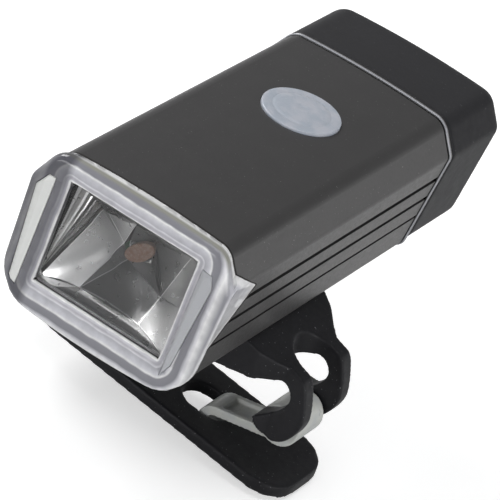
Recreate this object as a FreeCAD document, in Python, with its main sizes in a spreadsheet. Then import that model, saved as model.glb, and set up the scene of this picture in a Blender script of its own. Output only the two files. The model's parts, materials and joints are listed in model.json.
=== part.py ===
import FreeCAD, Part
import Sketcher
import math
import os
import re

# A handlebar light: a six-sided sleeve with a clear lens in front and a soft cap behind, on a
# silicone saddle whose strap is hooked by a small clip. Lengths are in millimetres, angles in
# degrees. X runs across the light, Y runs backwards along it and Z points up.
# Every piece is drawn with its zero height at the sleeve's belly and its zero length on the
# swivel axis. Each Placement then lifts it, so that the finished frame starts at the saddle's seat.

SIZES = (
    ("half_width", 18.0, "sleeve, swivel axis to the side ridge"),
    ("ridge_height", 19.3, "belly to the side ridge"),
    ("shoulder_half_width", 14.8, "sleeve, half width of the top face"),
    ("shoulder_height", 24.4, "belly to the edge of the top face"),
    ("crown_rise", 0.6, "rise of the top face in the middle"),
    ("base_half_width", 15.6, "sleeve, half width of the belly"),
    ("sleeve_wall", 1.6, "wall of the sleeve"),
    ("sleeve_length", 66.0, "sleeve, front to rear"),
    ("swivel_setback", 33.0, "sleeve front to the swivel axis"),
    ("shoulder_round", 3.0, "radius along the top edges"),
    ("belly_round", 1.9, "radius along the belly edges"),
    ("ridge_round", 1.5, "radius along the side ridges"),
    ("groove_high", 15.4, "upper edge of the highest side groove"),
    ("groove_mid", 11.35, "upper edge of the middle side groove"),
    ("groove_low", 7.2, "upper edge of the lowest side groove"),
    ("groove_high_width", 1.0, "height of the highest side groove"),
    ("groove_mid_width", 0.85, "height of the middle side groove"),
    ("groove_low_width", 0.6, "height of the lowest side groove"),
    ("groove_depth", 0.6, "depth of each side groove"),
    ("seam_gap", 0.1, "gap between shells that meet in view"),
    ("slide_gap", 0.15, "gap round what slides into the sleeve"),
    ("lens_depth", 5.3, "lens front ahead of the sleeve at the belly"),
    ("lens_tilt", 5.52, "lean of the lens front"),
    ("lens_base_flare", 1.6, "lens, extra half width at the foot"),
    ("lens_drop", 1.4, "lens foot below the belly"),
    ("lens_ridge_fall", 0.7, "lens ridge below the sleeve ridge"),
    ("lens_taper", 1.9, "lens top face narrower than the sleeve's on each side"),
    ("lens_foot_round", 4.0, "radius of the lens front's lower corners"),
    ("lens_shoulder_round", 2.0, "radius of the lens front's upper corners"),
    ("lens_rim", 0.5, "bevel round the lens front"),
    ("window_inset", 6.3, "side ridge to the side of the window"),
    ("window_top_drop", 3.0, "shoulder to the top of the window"),
    ("window_bottom", 4.1, "belly to the bottom of the window"),
    ("window_recess", 0.5, "depth of the window in the lens front"),
    ("window_thickness", 1.6, "pane thickness behind the recess"),
    ("cavity_margin", 0.9, "lens cavity beyond the window on each side"),
    ("wing_top", 21.1, "upper end of the lens wing"),
    ("wing_apex", 17.2, "height of the wing tip"),
    ("wing_reach", 6.9, "length of the lens wing"),
    ("wing_bottom", 4.5, "lower end of the lens wing"),
    ("spigot_length", 3.0, "lens spigot in the sleeve"),
    ("spigot_wall", 1.2, "wall of the lens spigot"),
    ("guide_inset", 1.3, "side strip from the side of the lens"),
    ("guide_width_top", 2.7, "side strip, width at its upper end"),
    ("guide_width_foot", 1.2, "side strip, width at its lower end"),
    ("guide_slant", 2.2, "side strip, rise of its upper end towards the middle"),
    ("guide_depth", 3.0, "side strip, front to rear"),
    ("guide_top", 18.5, "upper end of the side strip"),
    ("guide_foot", 3.2, "lower end of the side strip"),
    ("bowl_wall", 0.9, "wall of the reflector"),
    ("bowl_gap", 0.3, "gap between reflector and lens"),
    ("bowl_throat", 2.6, "half width of the reflector's opening for the LED"),
    ("led_rise", 0.5, "LED above the middle of the sleeve"),
    ("led_board_front", 4.6, "sleeve front to the face of the LED board"),
    ("led_board_thickness", 1.0, "LED board"),
    ("led_board_inset", 2.8, "side of the LED board, from the shoulder"),
    ("led_size", 3.4, "LED body, side of the square"),
    ("led_thickness", 0.8, "LED body"),
    ("led_dome", 1.3, "radius of the LED's dome"),
    ("sink_thickness", 4.4, "heat sink, front to rear"),
    ("lead_offset", 5.0, "LED wires from the middle"),
    ("lead_radius", 0.5, "LED wires"),
    ("tray_gap", 0.3, "inner tray to the sleeve at the side"),
    ("tray_floor", 1.0, "floor of the inner tray"),
    ("tray_front", 4.0, "front block of the inner tray"),
    ("battery_width", 22.0, "cell"),
    ("battery_length", 38.0, "cell"),
    ("battery_thickness", 10.0, "cell"),
    ("battery_gap", 0.4, "gap round the cell"),
    ("battery_round", 1.2, "radius along the cell"),
    ("pad_thickness", 0.5, "foam under the cell"),
    ("tab_thickness", 0.3, "strips on the cell"),
    ("tab_width", 3.0, "strips on the cell"),
    ("board_thickness", 1.0, "main board"),
    ("board_inset", 0.4, "main board narrower than the tray on each side"),
    ("small_screw_radius", 0.8, "board screws"),
    ("small_head_radius", 1.4, "head of the board screws"),
    ("small_head_height", 1.0, "head of the board screws"),
    ("small_screw_length", 4.5, "board screws under the head"),
    ("thread_gap", 0.05, "gap round every screw"),
    ("led_screw_offset", 9.5, "LED board screws from the middle"),
    ("led_screw_length", 3.6, "LED board screws in the heat sink"),
    ("button_setback", 44.2, "sleeve front to the button"),
    ("button_radius", 6.65, "button"),
    ("button_proud", 0.9, "button above the crown"),
    ("button_gap", 0.1, "gap round the button"),
    ("button_travel", 0.5, "stroke of the button"),
    ("flange_radius", 8.2, "flange under the button"),
    ("flange_thickness", 0.8, "flange under the button"),
    ("stem_radius", 3.0, "stem of the button"),
    ("dimple_radius", 1.1, "dimple in the button"),
    ("dimple_depth", 0.25, "dimple and ring in the button"),
    ("ring_radius", 4.9, "fine ring in the button"),
    ("bridge_half_width", 11.0, "bridge that carries the button"),
    ("bridge_half_length", 10.0, "bridge that carries the button"),
    ("bridge_thickness", 1.0, "bridge that carries the button"),
    ("bridge_leg", 1.6, "legs of the bridge"),
    ("switch_size", 6.2, "switch, side of the square"),
    ("switch_height", 3.0, "switch"),
    ("plunger_radius", 1.6, "switch plunger"),
    ("plunger_gap", 0.05, "gap round the plunger"),
    ("plunger_reach", 1.3, "plunger above the switch"),
    ("plunger_seat", 1.0, "plunger inside the switch"),
    ("indicator_offset", 5.2, "indicator LEDs from the button's axis"),
    ("indicator_size", 1.6, "indicator LEDs, side of the square"),
    ("indicator_height", 0.6, "indicator LEDs"),
    ("chip_setback", 19.0, "sleeve front to the driver chip"),
    ("chip_size", 5.0, "driver chip, side of the square"),
    ("chip_height", 0.9, "driver chip"),
    ("coil_setback", 26.5, "sleeve front to the driver coil"),
    ("coil_size", 6.0, "driver coil, side of the square"),
    ("coil_height", 3.0, "driver coil"),
    ("port_width", 9.0, "charge port"),
    ("port_height", 3.2, "charge port"),
    ("port_depth", 7.3, "charge port"),
    ("port_skin", 0.3, "shell of the charge port"),
    ("lip_width", 1.3, "glossy lip between sleeve and cap"),
    ("lip_inset", 0.25, "lip sunk below the sleeve"),
    ("plug_length", 2.5, "rear frame inside the sleeve"),
    ("stub_length", 9.2, "stub under the cap"),
    ("stub_end_wall", 1.6, "end wall of the stub"),
    ("tunnel_gap", 0.3, "gap round the board in the rear frame"),
    ("cap_length", 17.5, "rear cap"),
    ("cap_wall", 1.8, "wall of the rear cap"),
    ("cap_end_wall", 2.6, "end wall of the rear cap"),
    ("cap_fit", 0.1, "gap between the stub and the cap"),
    ("cap_round", 2.8, "radius round the rear of the cap"),
    ("cap_edge_round", 3.6, "radius along the cap's top and belly edges"),
    ("seal_setback", 1.2, "lip to the cap seal"),
    ("seal_width", 1.2, "cap seal"),
    ("seal_depth", 0.8, "cap seal, sunk in the stub"),
    ("seal_fit", 0.05, "gap between cap seal and cap"),
    ("rear_screw_offset", 8.0, "rear screws from the middle"),
    ("rear_screw_height", 7.8, "belly to the rear screws"),
    ("rear_screw_radius", 1.0, "rear screws"),
    ("rear_head_radius", 1.9, "head of the rear screws"),
    ("rear_head_height", 1.6, "head of the rear screws"),
    ("rear_screw_bite", 3.5, "rear screws in the tray"),
    ("plate_radius", 10.5, "swivel plate under the belly"),
    ("plate_thickness", 0.9, "swivel plate"),
    ("washer_thickness", 0.3, "friction ring"),
    ("washer_inner", 5.0, "friction ring"),
    ("washer_outer", 9.5, "friction ring"),
    ("swivel_gap", 0.08, "running gap of the swivel"),
    ("pivot_radius", 2.0, "pivot screw"),
    ("pivot_gap", 0.06, "gap round the pivot screw"),
    ("pivot_head_radius", 3.4, "head of the pivot screw"),
    ("pivot_head_height", 0.75, "head of the pivot screw"),
    ("pivot_washer_radius", 4.2, "washer on the pivot screw"),
    ("pivot_washer_height", 0.35, "washer on the pivot screw"),
    ("nut_radius", 3.4, "threaded insert in the belly"),
    ("nut_flange_radius", 4.4, "flange of the insert"),
    ("nut_flange_height", 1.3, "flange of the insert"),
    ("core_radius", 7.0, "hard core in the saddle"),
    ("core_thickness", 1.8, "hard core in the saddle"),
    ("saddle_radius", 16.5, "saddle"),
    ("seat_depth", 4.4, "belly to the seat for the bar"),
    ("saddle_depth", 7.0, "belly to the edge of the saddle"),
    ("bar_radius", 17.5, "curve of the seat"),
    ("disc_bevel", 2.2, "slope of the neck, inside the disc's edge"),
    ("recess_gap", 0.4, "gap round the washer in the saddle"),
    ("arm_reach", 26.0, "swivel axis to the outside of the arms"),
    ("arm_depth", 18.1, "belly to the end of the arms"),
    ("arm_thickness", 3.4, "arms, seen from the side"),
    ("arm_span", 7.5, "half the distance over both arms"),
    ("arm_slot", 4.5, "half the distance between the arms"),
    ("slot_reach", 17.3, "swivel axis to the closed end of the slot between the arms"),
    ("neck_half_width", 14.2, "half width of the neck where it leaves the disc"),
    ("neck_overlap", 7.0, "neck inside the disc's edge"),
    ("neck_taper", 2.9, "neck narrower at the disc's edge than at its root"),
    ("neck_run", 4.2, "disc's edge to where the neck is as narrow as the arms"),
    ("lip_drop", 0.6, "thin lip under the neck"),
    ("elbow_run", 2.5, "inner elbow of the arms to their straight"),
    ("elbow_drop", 2.8, "underside of the saddle to the arms' straight"),
    ("claw_reach", 4.2, "arms' ends curl back past the inside of the arms"),
    ("claw_rise", 4.2, "arms' ends to where the curl starts"),
    ("claw_waist", 1.2, "curl's start to its tip"),
    ("toe_rise", 1.7, "outside corner of the arms' ends"),
    ("toe_inset", 1.5, "outside corner of the arms' ends, from their outside"),
    ("shin_rise", 5.7, "arms' ends to their widest reach"),
    ("knee_inset", 1.2, "arms at the saddle's edge, from their outside"),
    ("hip_inset", 7.0, "upper end of the neck's slope, from the arms' outside"),
    ("hip_rise", 3.2, "upper end of the neck's slope, from the saddle's edge"),
    ("strap_half_width", 8.9, "strap"),
    ("strap_thickness", 2.2, "strap"),
    ("strap_bend", 8.0, "strap's bend, at the middle of its thickness"),
    ("strap_bend_reach", 17.5, "swivel axis to the centre of the bend"),
    ("strap_bend_depth", 13.0, "belly to the centre of the bend"),
    ("strap_fall", 7.0, "slope of the lower run"),
    ("strap_end", 27.0, "swivel axis to the tip of the strap"),
    ("strap_tip_round", 6.0, "corner of the strap's tip"),
    ("strap_root", 16.6, "swivel axis to the joint of saddle and strap"),
    ("hole_length", 9.1, "hole in the strap"),
    ("hole_lead", 0.9, "far end of the strap's hole beyond the middle of the hook"),
    ("clip_half_width", 3.2, "tongue of the clip"),
    ("hook_gap", 0.35, "gap round the hook in the strap's hole"),
    ("tongue_gap", 0.7, "strap to the underside of the tongue at the hook"),
    ("tongue_thickness", 1.65, "tongue of the clip"),
    ("tongue_root", 3.58, "middle of the head to the underside of the tongue"),
    ("channel_depth", 0.8, "channel in the tongue"),
    ("channel_rim", 1.0, "rim on each side of the channel"),
    ("hook_slack", 0.9, "inside radius of the hook beyond half the strap"),
    ("hook_reach", 10.6, "swivel axis to the centre of the hook"),
    ("hook_tail", 4.4, "end of the hook beyond its middle"),
    ("hook_thickness", 1.3, "end of the hook"),
    ("head_radius", 3.6, "head of the clip"),
    ("head_drop", 1.2, "middle of the head below the clip pin"),
    ("head_side_gap", 0.4, "head to each arm"),
    ("pin_setback", 4.8, "outside of the arms to the clip pin"),
    ("pin_rise", 2.3, "end of the arms to the clip pin"),
    ("pin_radius", 1.0, "clip pin"),
    ("pin_gap", 0.05, "gap round the pin in the clip"),
    ("pin_inset", 1.0, "pin's ends below the outside of the arms"),
)
NAMES = {name for name, size, meaning in SIZES}

doc = FreeCAD.newDocument("BikeLight")
sheet = doc.addObject("Spreadsheet::Sheet", "Sizes")
for row, (name, size, meaning) in enumerate(SIZES, start=1):
    sheet.set(f"A{row}", name)
    sheet.set(f"B{row}", str(size))
    sheet.set(f"C{row}", meaning)
    sheet.setAlias(f"B{row}", name)
doc.recompute()

# Lengths and heights that several pieces share, as expressions of the sizes.
SLEEVE_FRONT = "-swivel_setback"
SLEEVE_REAR = "sleeve_length - swivel_setback"
LIP_REAR = f"{SLEEVE_REAR} + lip_width"
STUB_REAR = f"{LIP_REAR} + stub_length"
CAP_FRONT = f"{LIP_REAR} + seam_gap"
CAP_REAR = f"{CAP_FRONT} + cap_length"
LENS_FRONT = "-swivel_setback - lens_depth"
WINDOW_FRONT = f"{LENS_FRONT} + window_recess"
WINDOW_BACK = f"{WINDOW_FRONT} + window_thickness"
LED_HEIGHT = "(shoulder_height / 2 + led_rise)"
LED_FACE = "led_board_front - swivel_setback"
LED_BACK = f"{LED_FACE} + led_board_thickness"
SINK_BACK = f"{LED_BACK} + sink_thickness"
TRAY_REAR = f"{SLEEVE_REAR} - plug_length"
BUTTON_Y = "button_setback - swivel_setback"
BORE = "(sleeve_wall + slide_gap)"
TRAY_HALF = "(base_half_width - sleeve_wall - tray_gap)"
TRAY_BOTTOM = f"{BORE}"
PAD_BOTTOM = f"{TRAY_BOTTOM} + tray_floor"
CELL_BOTTOM = f"{PAD_BOTTOM} + pad_thickness"
CELL_TOP = f"{CELL_BOTTOM} + battery_thickness"
CELL_FRONT = f"{SINK_BACK} + tray_front + battery_gap"
CELL_REAR = f"{CELL_FRONT} + battery_length"
BOARD_BOTTOM = f"{CELL_TOP} + battery_gap"
BOARD_TOP = f"{BOARD_BOTTOM} + board_thickness"
BOARD_HALF = f"({TRAY_HALF} - board_inset)"
BOARD_FRONT = f"{SINK_BACK} + slide_gap"
BOARD_MIDDLE = f"{BOARD_BOTTOM} + board_thickness / 2"
PORT_REAR = f"{STUB_REAR} - stub_end_wall"
BOARD_REAR = f"{PORT_REAR} - tunnel_gap"
SWITCH_TOP = f"{BOARD_TOP} + switch_height"
PLUNGER_TOP = f"{SWITCH_TOP} + plunger_reach"
CEILING = "(shoulder_height - sleeve_wall)"
CROWN = "(shoulder_height + crown_rise)"
FLANGE_BOTTOM = f"{CEILING} - flange_thickness"
BRIDGE_TOP = f"{FLANGE_BOTTOM} - button_travel - slide_gap"
BRIDGE_BOTTOM = f"{BRIDGE_TOP} - bridge_thickness"
WINDOW_HALF = "(half_width - window_inset)"
WINDOW_TOP = "(shoulder_height - window_top_drop)"
PLATE_BOTTOM = "-plate_thickness"
RING_BOTTOM = f"{PLATE_BOTTOM} - washer_thickness"
SADDLE_TOP = f"{RING_BOTTOM} - swivel_gap"
CORE_BOTTOM = f"{SADDLE_TOP} - core_thickness"
WASHER_TOP = f"{CORE_BOTTOM} - swivel_gap"
HEAD_TOP = f"{WASHER_TOP} - pivot_washer_height"
HEAD_BOTTOM = f"{HEAD_TOP} - pivot_head_height"
NUT_TOP = "sleeve_wall + nut_flange_height"
CHANNEL_HALF = "(clip_half_width - channel_rim)"
HEAD_HALF = "(arm_slot - head_side_gap)"
PIN_HALF = "(arm_span - pin_inset)"
PIN_X = "(arm_reach - pin_setback)"
PIN_Z = "(-arm_depth + pin_rise)"


def bound(text):
    """An expression in which each size's name points at its cell."""
    return re.sub(r"[a-z_]+", lambda word: "Sizes." + word[0] if word[0] in NAMES else word[0], text)


def value(text):
    return float(sheet.evalExpression(text))


# Views: the plane a sketch lies on and how far along its axis.
PLANES = {"front": "XZ_Plane", "lens": "XZ_Plane", "side": "YZ_Plane", "top": "XY_Plane"}
nodes = {}


def keep(label, part):
    """Name a finished piece and lift it from the belly's frame to the seat's frame."""
    part.Label = label
    part.setExpression("Placement.Base.z", bound("seat_depth"))
    nodes[label] = part
    return part


def new_body(label):
    return keep(label, doc.addObject("PartDesign::Body", label))


def new_sketch(body, view, place):
    sketch = body.newObject("Sketcher::SketchObject", "Outline")
    plane = next(item for item in body.Origin.OriginFeatures if item.Role == PLANES[view])
    sketch.AttachmentSupport = [(plane, "")]
    sketch.MapMode = "FlatFace"
    if view == "lens":
        lean = FreeCAD.Rotation(FreeCAD.Vector(1, 0, 0), -value("lens_tilt"))
        sketch.AttachmentOffset = FreeCAD.Placement(FreeCAD.Vector(), lean)
        sketch.setExpression("AttachmentOffset.Rotation.Angle", bound("-lens_tilt"))
    toward = f"-({place})" if view in ("front", "lens") else place
    sketch.setExpression("AttachmentOffset.Base.z", bound(toward))
    return sketch


def fix(sketch, kind, spot, text):
    """Hold a point's or a curve's measure to an expression."""
    index = sketch.addConstraint(Sketcher.Constraint(kind, *spot, value(text)))
    sketch.setExpression(f"Constraints[{index}]", bound(text))


def draw_polygon(sketch, points, rises=None, rounds=None):
    """A closed outline, counterclockwise. An edge with a rise is an arc, outwards when positive,
    and a corner with a round is an arc tangent to both of its edges."""
    rises = rises or {}
    rounds = rounds or {}
    count = len(points)
    corners = [FreeCAD.Vector(value(u), value(v), 0) for u, v in points]
    starts, finishes = list(corners), list(corners)
    for number, radius in rounds.items():
        back = (corners[number - 1] - corners[number]).normalize()
        ahead = (corners[(number + 1) % count] - corners[number]).normalize()
        reach = value(radius) / math.tan(back.getAngle(ahead) / 2)
        finishes[number] = corners[number] + back * reach
        starts[number] = corners[number] + ahead * reach
    ends = []
    for number in range(count):
        start, finish = starts[number], finishes[(number + 1) % count]
        if number in rises:
            chord = finish - start
            outward = FreeCAD.Vector(chord.y, -chord.x, 0).normalize()
            middle = (start + finish) / 2 + outward * value(rises[number])
            curve = sketch.addGeometry(Part.Arc(start, middle, finish), False)
            ends.append((curve, 1, 2) if value(rises[number]) > 0 else (curve, 2, 1))
        else:
            ends.append((sketch.addGeometry(Part.LineSegment(start, finish), False), 1, 2))
    for number, (curve, first, last) in enumerate(ends):
        before, joint = ends[number - 1][0], ends[number - 1][2]
        u, v = points[number]
        if number in rounds:
            round_corner(sketch, number, corners, finishes, starts, (before, joint), (curve, first))
            fix(sketch, "Radius", (sketch.GeometryCount - 1,), rounds[number])
            spot = (sketch.GeometryCount - 2, 1)
        else:
            sketch.addConstraint(Sketcher.Constraint("Coincident", before, joint, curve, first))
            spot = (curve, first)
        fix(sketch, "DistanceX", spot, u)
        fix(sketch, "DistanceY", spot, v)
    for number, rise in rises.items():
        hold_arc(sketch, ends[number][0], points[number], points[(number + 1) % count], rise)


def round_corner(sketch, number, corners, finishes, starts, before, after):
    """The point of a corner, on both of its edges, and the arc that rounds it."""
    corner = corners[number]
    point = sketch.addGeometry(Part.Point(corner), True)
    for curve in (before[0], after[0]):
        sketch.addConstraint(Sketcher.Constraint("PointOnObject", point, 1, curve))
    to_middle = ((finishes[number] + starts[number]) / 2 - corner)
    half_chord = (finishes[number] - starts[number]).Length / 2
    leg = (finishes[number] - corner).Length
    radius = leg * half_chord / to_middle.Length
    centre_reach = math.hypot(radius, leg)
    middle = corner + to_middle.normalize() * (centre_reach - radius)
    arc = sketch.addGeometry(Part.Arc(finishes[number], middle, starts[number]), False)
    sketch.addConstraint(Sketcher.Constraint("Tangent", *before, arc, 1))
    sketch.addConstraint(Sketcher.Constraint("Tangent", arc, 2, *after))


def hold_arc(sketch, curve, start, finish, rise):
    """Place an arc's centre on the bisector of its chord, so that it rises as asked."""
    across = f"(({finish[0]}) - ({start[0]}))"
    upward = f"(({finish[1]}) - ({start[1]}))"
    chord_squared = f"({across}^2 + {upward}^2)"
    shift = f"(({rise})^2 - {chord_squared} / 4) / (2 * ({rise}) * sqrt{chord_squared})"
    if abs(value(upward)) > abs(value(across)):
        fix(sketch, "DistanceX", (curve, 3), f"(({start[0]}) + ({finish[0]})) / 2 + {upward} * {shift}")
    else:
        fix(sketch, "DistanceY", (curve, 3), f"(({start[1]}) + ({finish[1]})) / 2 - {across} * {shift}")


def draw_circle(sketch, u, v, radius):
    centre = FreeCAD.Vector(value(u), value(v), 0)
    curve = sketch.addGeometry(Part.Circle(centre, FreeCAD.Vector(0, 0, 1), value(radius)), False)
    fix(sketch, "DistanceX", (curve, 3), u)
    fix(sketch, "DistanceY", (curve, 3), v)
    fix(sketch, "Radius", (curve,), radius)


def polygon(points, rises=None, rounds=None):
    return lambda sketch: draw_polygon(sketch, points, rises, rounds)


def circle(u, v, radius):
    return lambda sketch: draw_circle(sketch, u, v, radius)


def box(u_low, u_high, v_low, v_high):
    return polygon([(u_low, v_low), (u_high, v_low), (u_high, v_high), (u_low, v_high)])


def slot(u_low, u_high, v_low, v_high):
    """A box whose two short ends are half circles, longer along u."""
    half = f"(({v_high}) - ({v_low})) / 2"
    return polygon([(f"{u_low} + {half}", v_low), (f"{u_high} - {half}", v_low),
                    (f"{u_high} - {half}", v_high), (f"{u_low} + {half}", v_high)], {1: half, 3: half})


def section(inset, rounds=None):
    """The sleeve's six-sided section, drawn in by an inset, with its crown as an arc."""
    base, ridge, shoulder = (f"{word} - {inset}"
                             for word in ("base_half_width", "half_width", "shoulder_half_width"))
    top = f"shoulder_height - {inset}"
    points = [(f"-({base})", inset), (base, inset), (ridge, "ridge_height"), (shoulder, top),
              (f"-({shoulder})", top), (f"-({ridge})", "ridge_height")]
    return polygon(points, {3: "crown_rise"}, rounds)


def corner_rounds(foot, shoulder):
    return {0: foot, 1: foot, 3: shoulder, 4: shoulder}


def extrude(body, view, low, high, *outlines, cut=False):
    """Pad or cut outlines from one place on the view's axis to a higher one."""
    doc.recompute()
    before = body.Shape.Volume if body.Tip else 0.0
    sketch = new_sketch(body, view, low)
    for draw in outlines:
        draw(sketch)
    feature = body.newObject("PartDesign::Pocket" if cut else "PartDesign::Pad", "Cut" if cut else "Solid")
    feature.Profile = sketch
    feature.setExpression("Length", bound(f"({high}) - ({low})"))
    feature.Reversed = (view in ("front", "lens")) != cut
    doc.recompute()
    change = body.Shape.Volume - before
    if (change < 0) != cut or abs(change) < 1e-6:
        raise ValueError(f"{body.Label}: an outline changed the volume by {change:.3f}")
    return feature


def loft(body, low_view, low, low_outline, high_view, high, high_outline, cut=False):
    """A ruled solid, or cut, between two outlines with as many edges."""
    sketches = []
    for view, place, draw in ((low_view, low, low_outline), (high_view, high, high_outline)):
        sketches.append(new_sketch(body, view, place))
        draw(sketches[-1])
    feature = body.newObject("PartDesign::SubtractiveLoft" if cut else "PartDesign::AdditiveLoft", "Loft")
    feature.Profile = sketches[0]
    feature.Sections = [sketches[1]]
    feature.Ruled = True
    doc.recompute()
    return feature


def soften(body, radius, wanted):
    """Round the edges that the test picks from the body so far."""
    doc.recompute()
    sharp = body.Tip
    names = [f"Edge{number}" for number, edge in enumerate(sharp.Shape.Edges, start=1) if wanted(edge)]
    if not names:
        raise ValueError(f"{body.Label}: no edge to soften")
    feature = body.newObject("PartDesign::Fillet", "Round")
    feature.Base = (sharp, names)
    feature.setExpression("Radius", bound(radius))
    doc.recompute()
    return feature


def runs_along(edge, axis):
    """Whether a straight edge points along one axis, 0 for X, 1 for Y and 2 for Z."""
    first, last = edge.Vertexes[0].Point, edge.Vertexes[-1].Point
    return all(abs(first[k] - last[k]) < 0.01 for k in range(3) if k != axis) and edge.Length > 0.01


def near(number, text, slack=0.02):
    return abs(number - value(text)) < slack


def long_edge(half, height, low, high):
    """A test for the lengthwise edges at one corner of the section, on both sides."""
    def wanted(edge):
        point = edge.CenterOfMass
        inside = value(low) - 0.01 <= point.y <= value(high) + 0.01
        return runs_along(edge, 1) and inside and near(abs(point.x), half) and near(point.z, height)
    return wanted


def on_plane(axis, place):
    """A test for edges that lie wholly in one plane square to an axis."""
    def wanted(edge):
        box_of = edge.BoundBox
        low = (box_of.XMin, box_of.YMin, box_of.ZMin)[axis]
        high = (box_of.XMax, box_of.YMax, box_of.ZMax)[axis]
        return near(low, place) and near(high, place)
    return wanted


def cylinder(x, y, z, radius, length, along):
    """A Part cylinder that starts at a place and runs along Y or Z."""
    part = doc.addObject("Part::Cylinder", "Rod")
    part.setExpression("Radius", bound(radius))
    part.setExpression("Height", bound(length))
    if along == "y":
        turn = FreeCAD.Rotation(FreeCAD.Vector(1, 0, 0), -90)
        part.Placement = FreeCAD.Placement(FreeCAD.Vector(), turn)
    for letter, text in zip("xyz", (x, y, z)):
        part.setExpression(f"Placement.Base.{letter}", bound(text))
    return part


def fuse(first, second):
    part = doc.addObject("Part::Fuse", "Joined")
    part.Base = first
    part.Tool = second
    return part


def group(label, parts):
    """Separate solids that share one node."""
    part = doc.addObject("Part::Compound", label)
    part.Links = parts
    return keep(label, part)


def block(x_low, x_high, y_low, y_high, z_low, z_high):
    part = doc.addObject("Part::Box", "Block")
    for side, low, high in (("Length", x_low, x_high), ("Width", y_low, y_high), ("Height", z_low, z_high)):
        part.setExpression(side, bound(f"({high}) - ({low})"))
    for letter, low in zip("xyz", (x_low, y_low, z_low)):
        part.setExpression(f"Placement.Base.{letter}", bound(low))
    return part


# Sleeve: six-sided tube, three grooves on each lower side, a notch for the lens wings, the button's
# hole and the hole for the threaded insert.
def make_sleeve():
    body = new_body("housing_shell")
    extrude(body, "front", SLEEVE_FRONT, SLEEVE_REAR, section("0"))
    soften(body, "shoulder_round",
           long_edge("shoulder_half_width", "shoulder_height", SLEEVE_FRONT, SLEEVE_REAR))
    soften(body, "belly_round", long_edge("base_half_width", "0", SLEEVE_FRONT, SLEEVE_REAR))
    soften(body, "ridge_round", long_edge("half_width", "ridge_height", SLEEVE_FRONT, SLEEVE_REAR))
    extrude(body, "front", SLEEVE_FRONT, SLEEVE_REAR, section("sleeve_wall"), cut=True)
    outlines = []
    for top in ("groove_high", "groove_mid", "groove_low"):
        face = f"(base_half_width + (half_width - base_half_width) * {top} / ridge_height)"
        floor = f"{face} - groove_depth"
        outlines.append(box(floor, f"{face} + 1", f"{top} - {top}_width", top))
        outlines.append(box(f"-({face} + 1)", f"-({floor})", f"{top} - {top}_width", top))
    extrude(body, "front", SLEEVE_FRONT, SLEEVE_REAR, *outlines, cut=True)
    notch = [(SLEEVE_FRONT, "wing_bottom - seam_gap"), (f"{SLEEVE_FRONT} + wing_reach + seam_gap", "wing_apex"),
             (SLEEVE_FRONT, "wing_top + seam_gap")]
    extrude(body, "side", "-half_width - 1", "half_width + 1", polygon(notch), cut=True)
    extrude(body, "top", CEILING, f"{CROWN} + 1",
            circle("0", BUTTON_Y, "button_radius + button_gap"), cut=True)
    extrude(body, "top", "-1", "sleeve_wall + 0.5", circle("0", "0", "nut_radius + thread_gap"), cut=True)


# Lens: flares forward from the sleeve's section to a leaning front with a recessed window. A spigot
# goes into the sleeve and a wing fills the notch in each side wall.
def lens_outline(inset):
    base = f"(base_half_width + lens_base_flare - {inset})"
    ridge = f"(half_width - {inset})"
    shoulder = f"(shoulder_half_width - lens_taper - {inset})"
    foot, top = f"-lens_drop + {inset}", f"shoulder_height - {inset}"
    ridge_top = "ridge_height - lens_ridge_fall"
    points = [(f"-{base}", foot), (base, foot), (ridge, ridge_top), (shoulder, top), (f"-{shoulder}", top),
              (f"-{ridge}", ridge_top)]
    return polygon(points, {3: "crown_rise / 2"}, corner_rounds("lens_foot_round", "lens_shoulder_round"))


def window_outline(margin):
    half = f"({WINDOW_HALF} + {margin})"
    return box(f"-{half}", half, f"window_bottom - {margin}", f"{WINDOW_TOP} + {margin}")


def guide_points(side, margin):
    """A side strip's corners. It follows the lens side and narrows towards the foot."""
    slope = "(half_width - base_half_width) / ridge_height"
    outer_top = f"(base_half_width + guide_top * {slope} - guide_inset + {margin})"
    outer_foot = f"(base_half_width + guide_foot * {slope} - guide_inset + {margin})"
    points = [(f"({outer_foot} - guide_width_foot - 2 * {margin})",
               f"guide_foot - guide_width_foot - {margin}"),
              (outer_foot, f"guide_foot - {margin}"), (outer_top, f"guide_top + {margin}"),
              (f"({outer_top} - guide_width_top - 2 * {margin})", f"guide_top + guide_slant + {margin}")]
    if side > 0:
        return points
    return [(f"-{u}", v) for u, v in reversed(points)]


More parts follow.
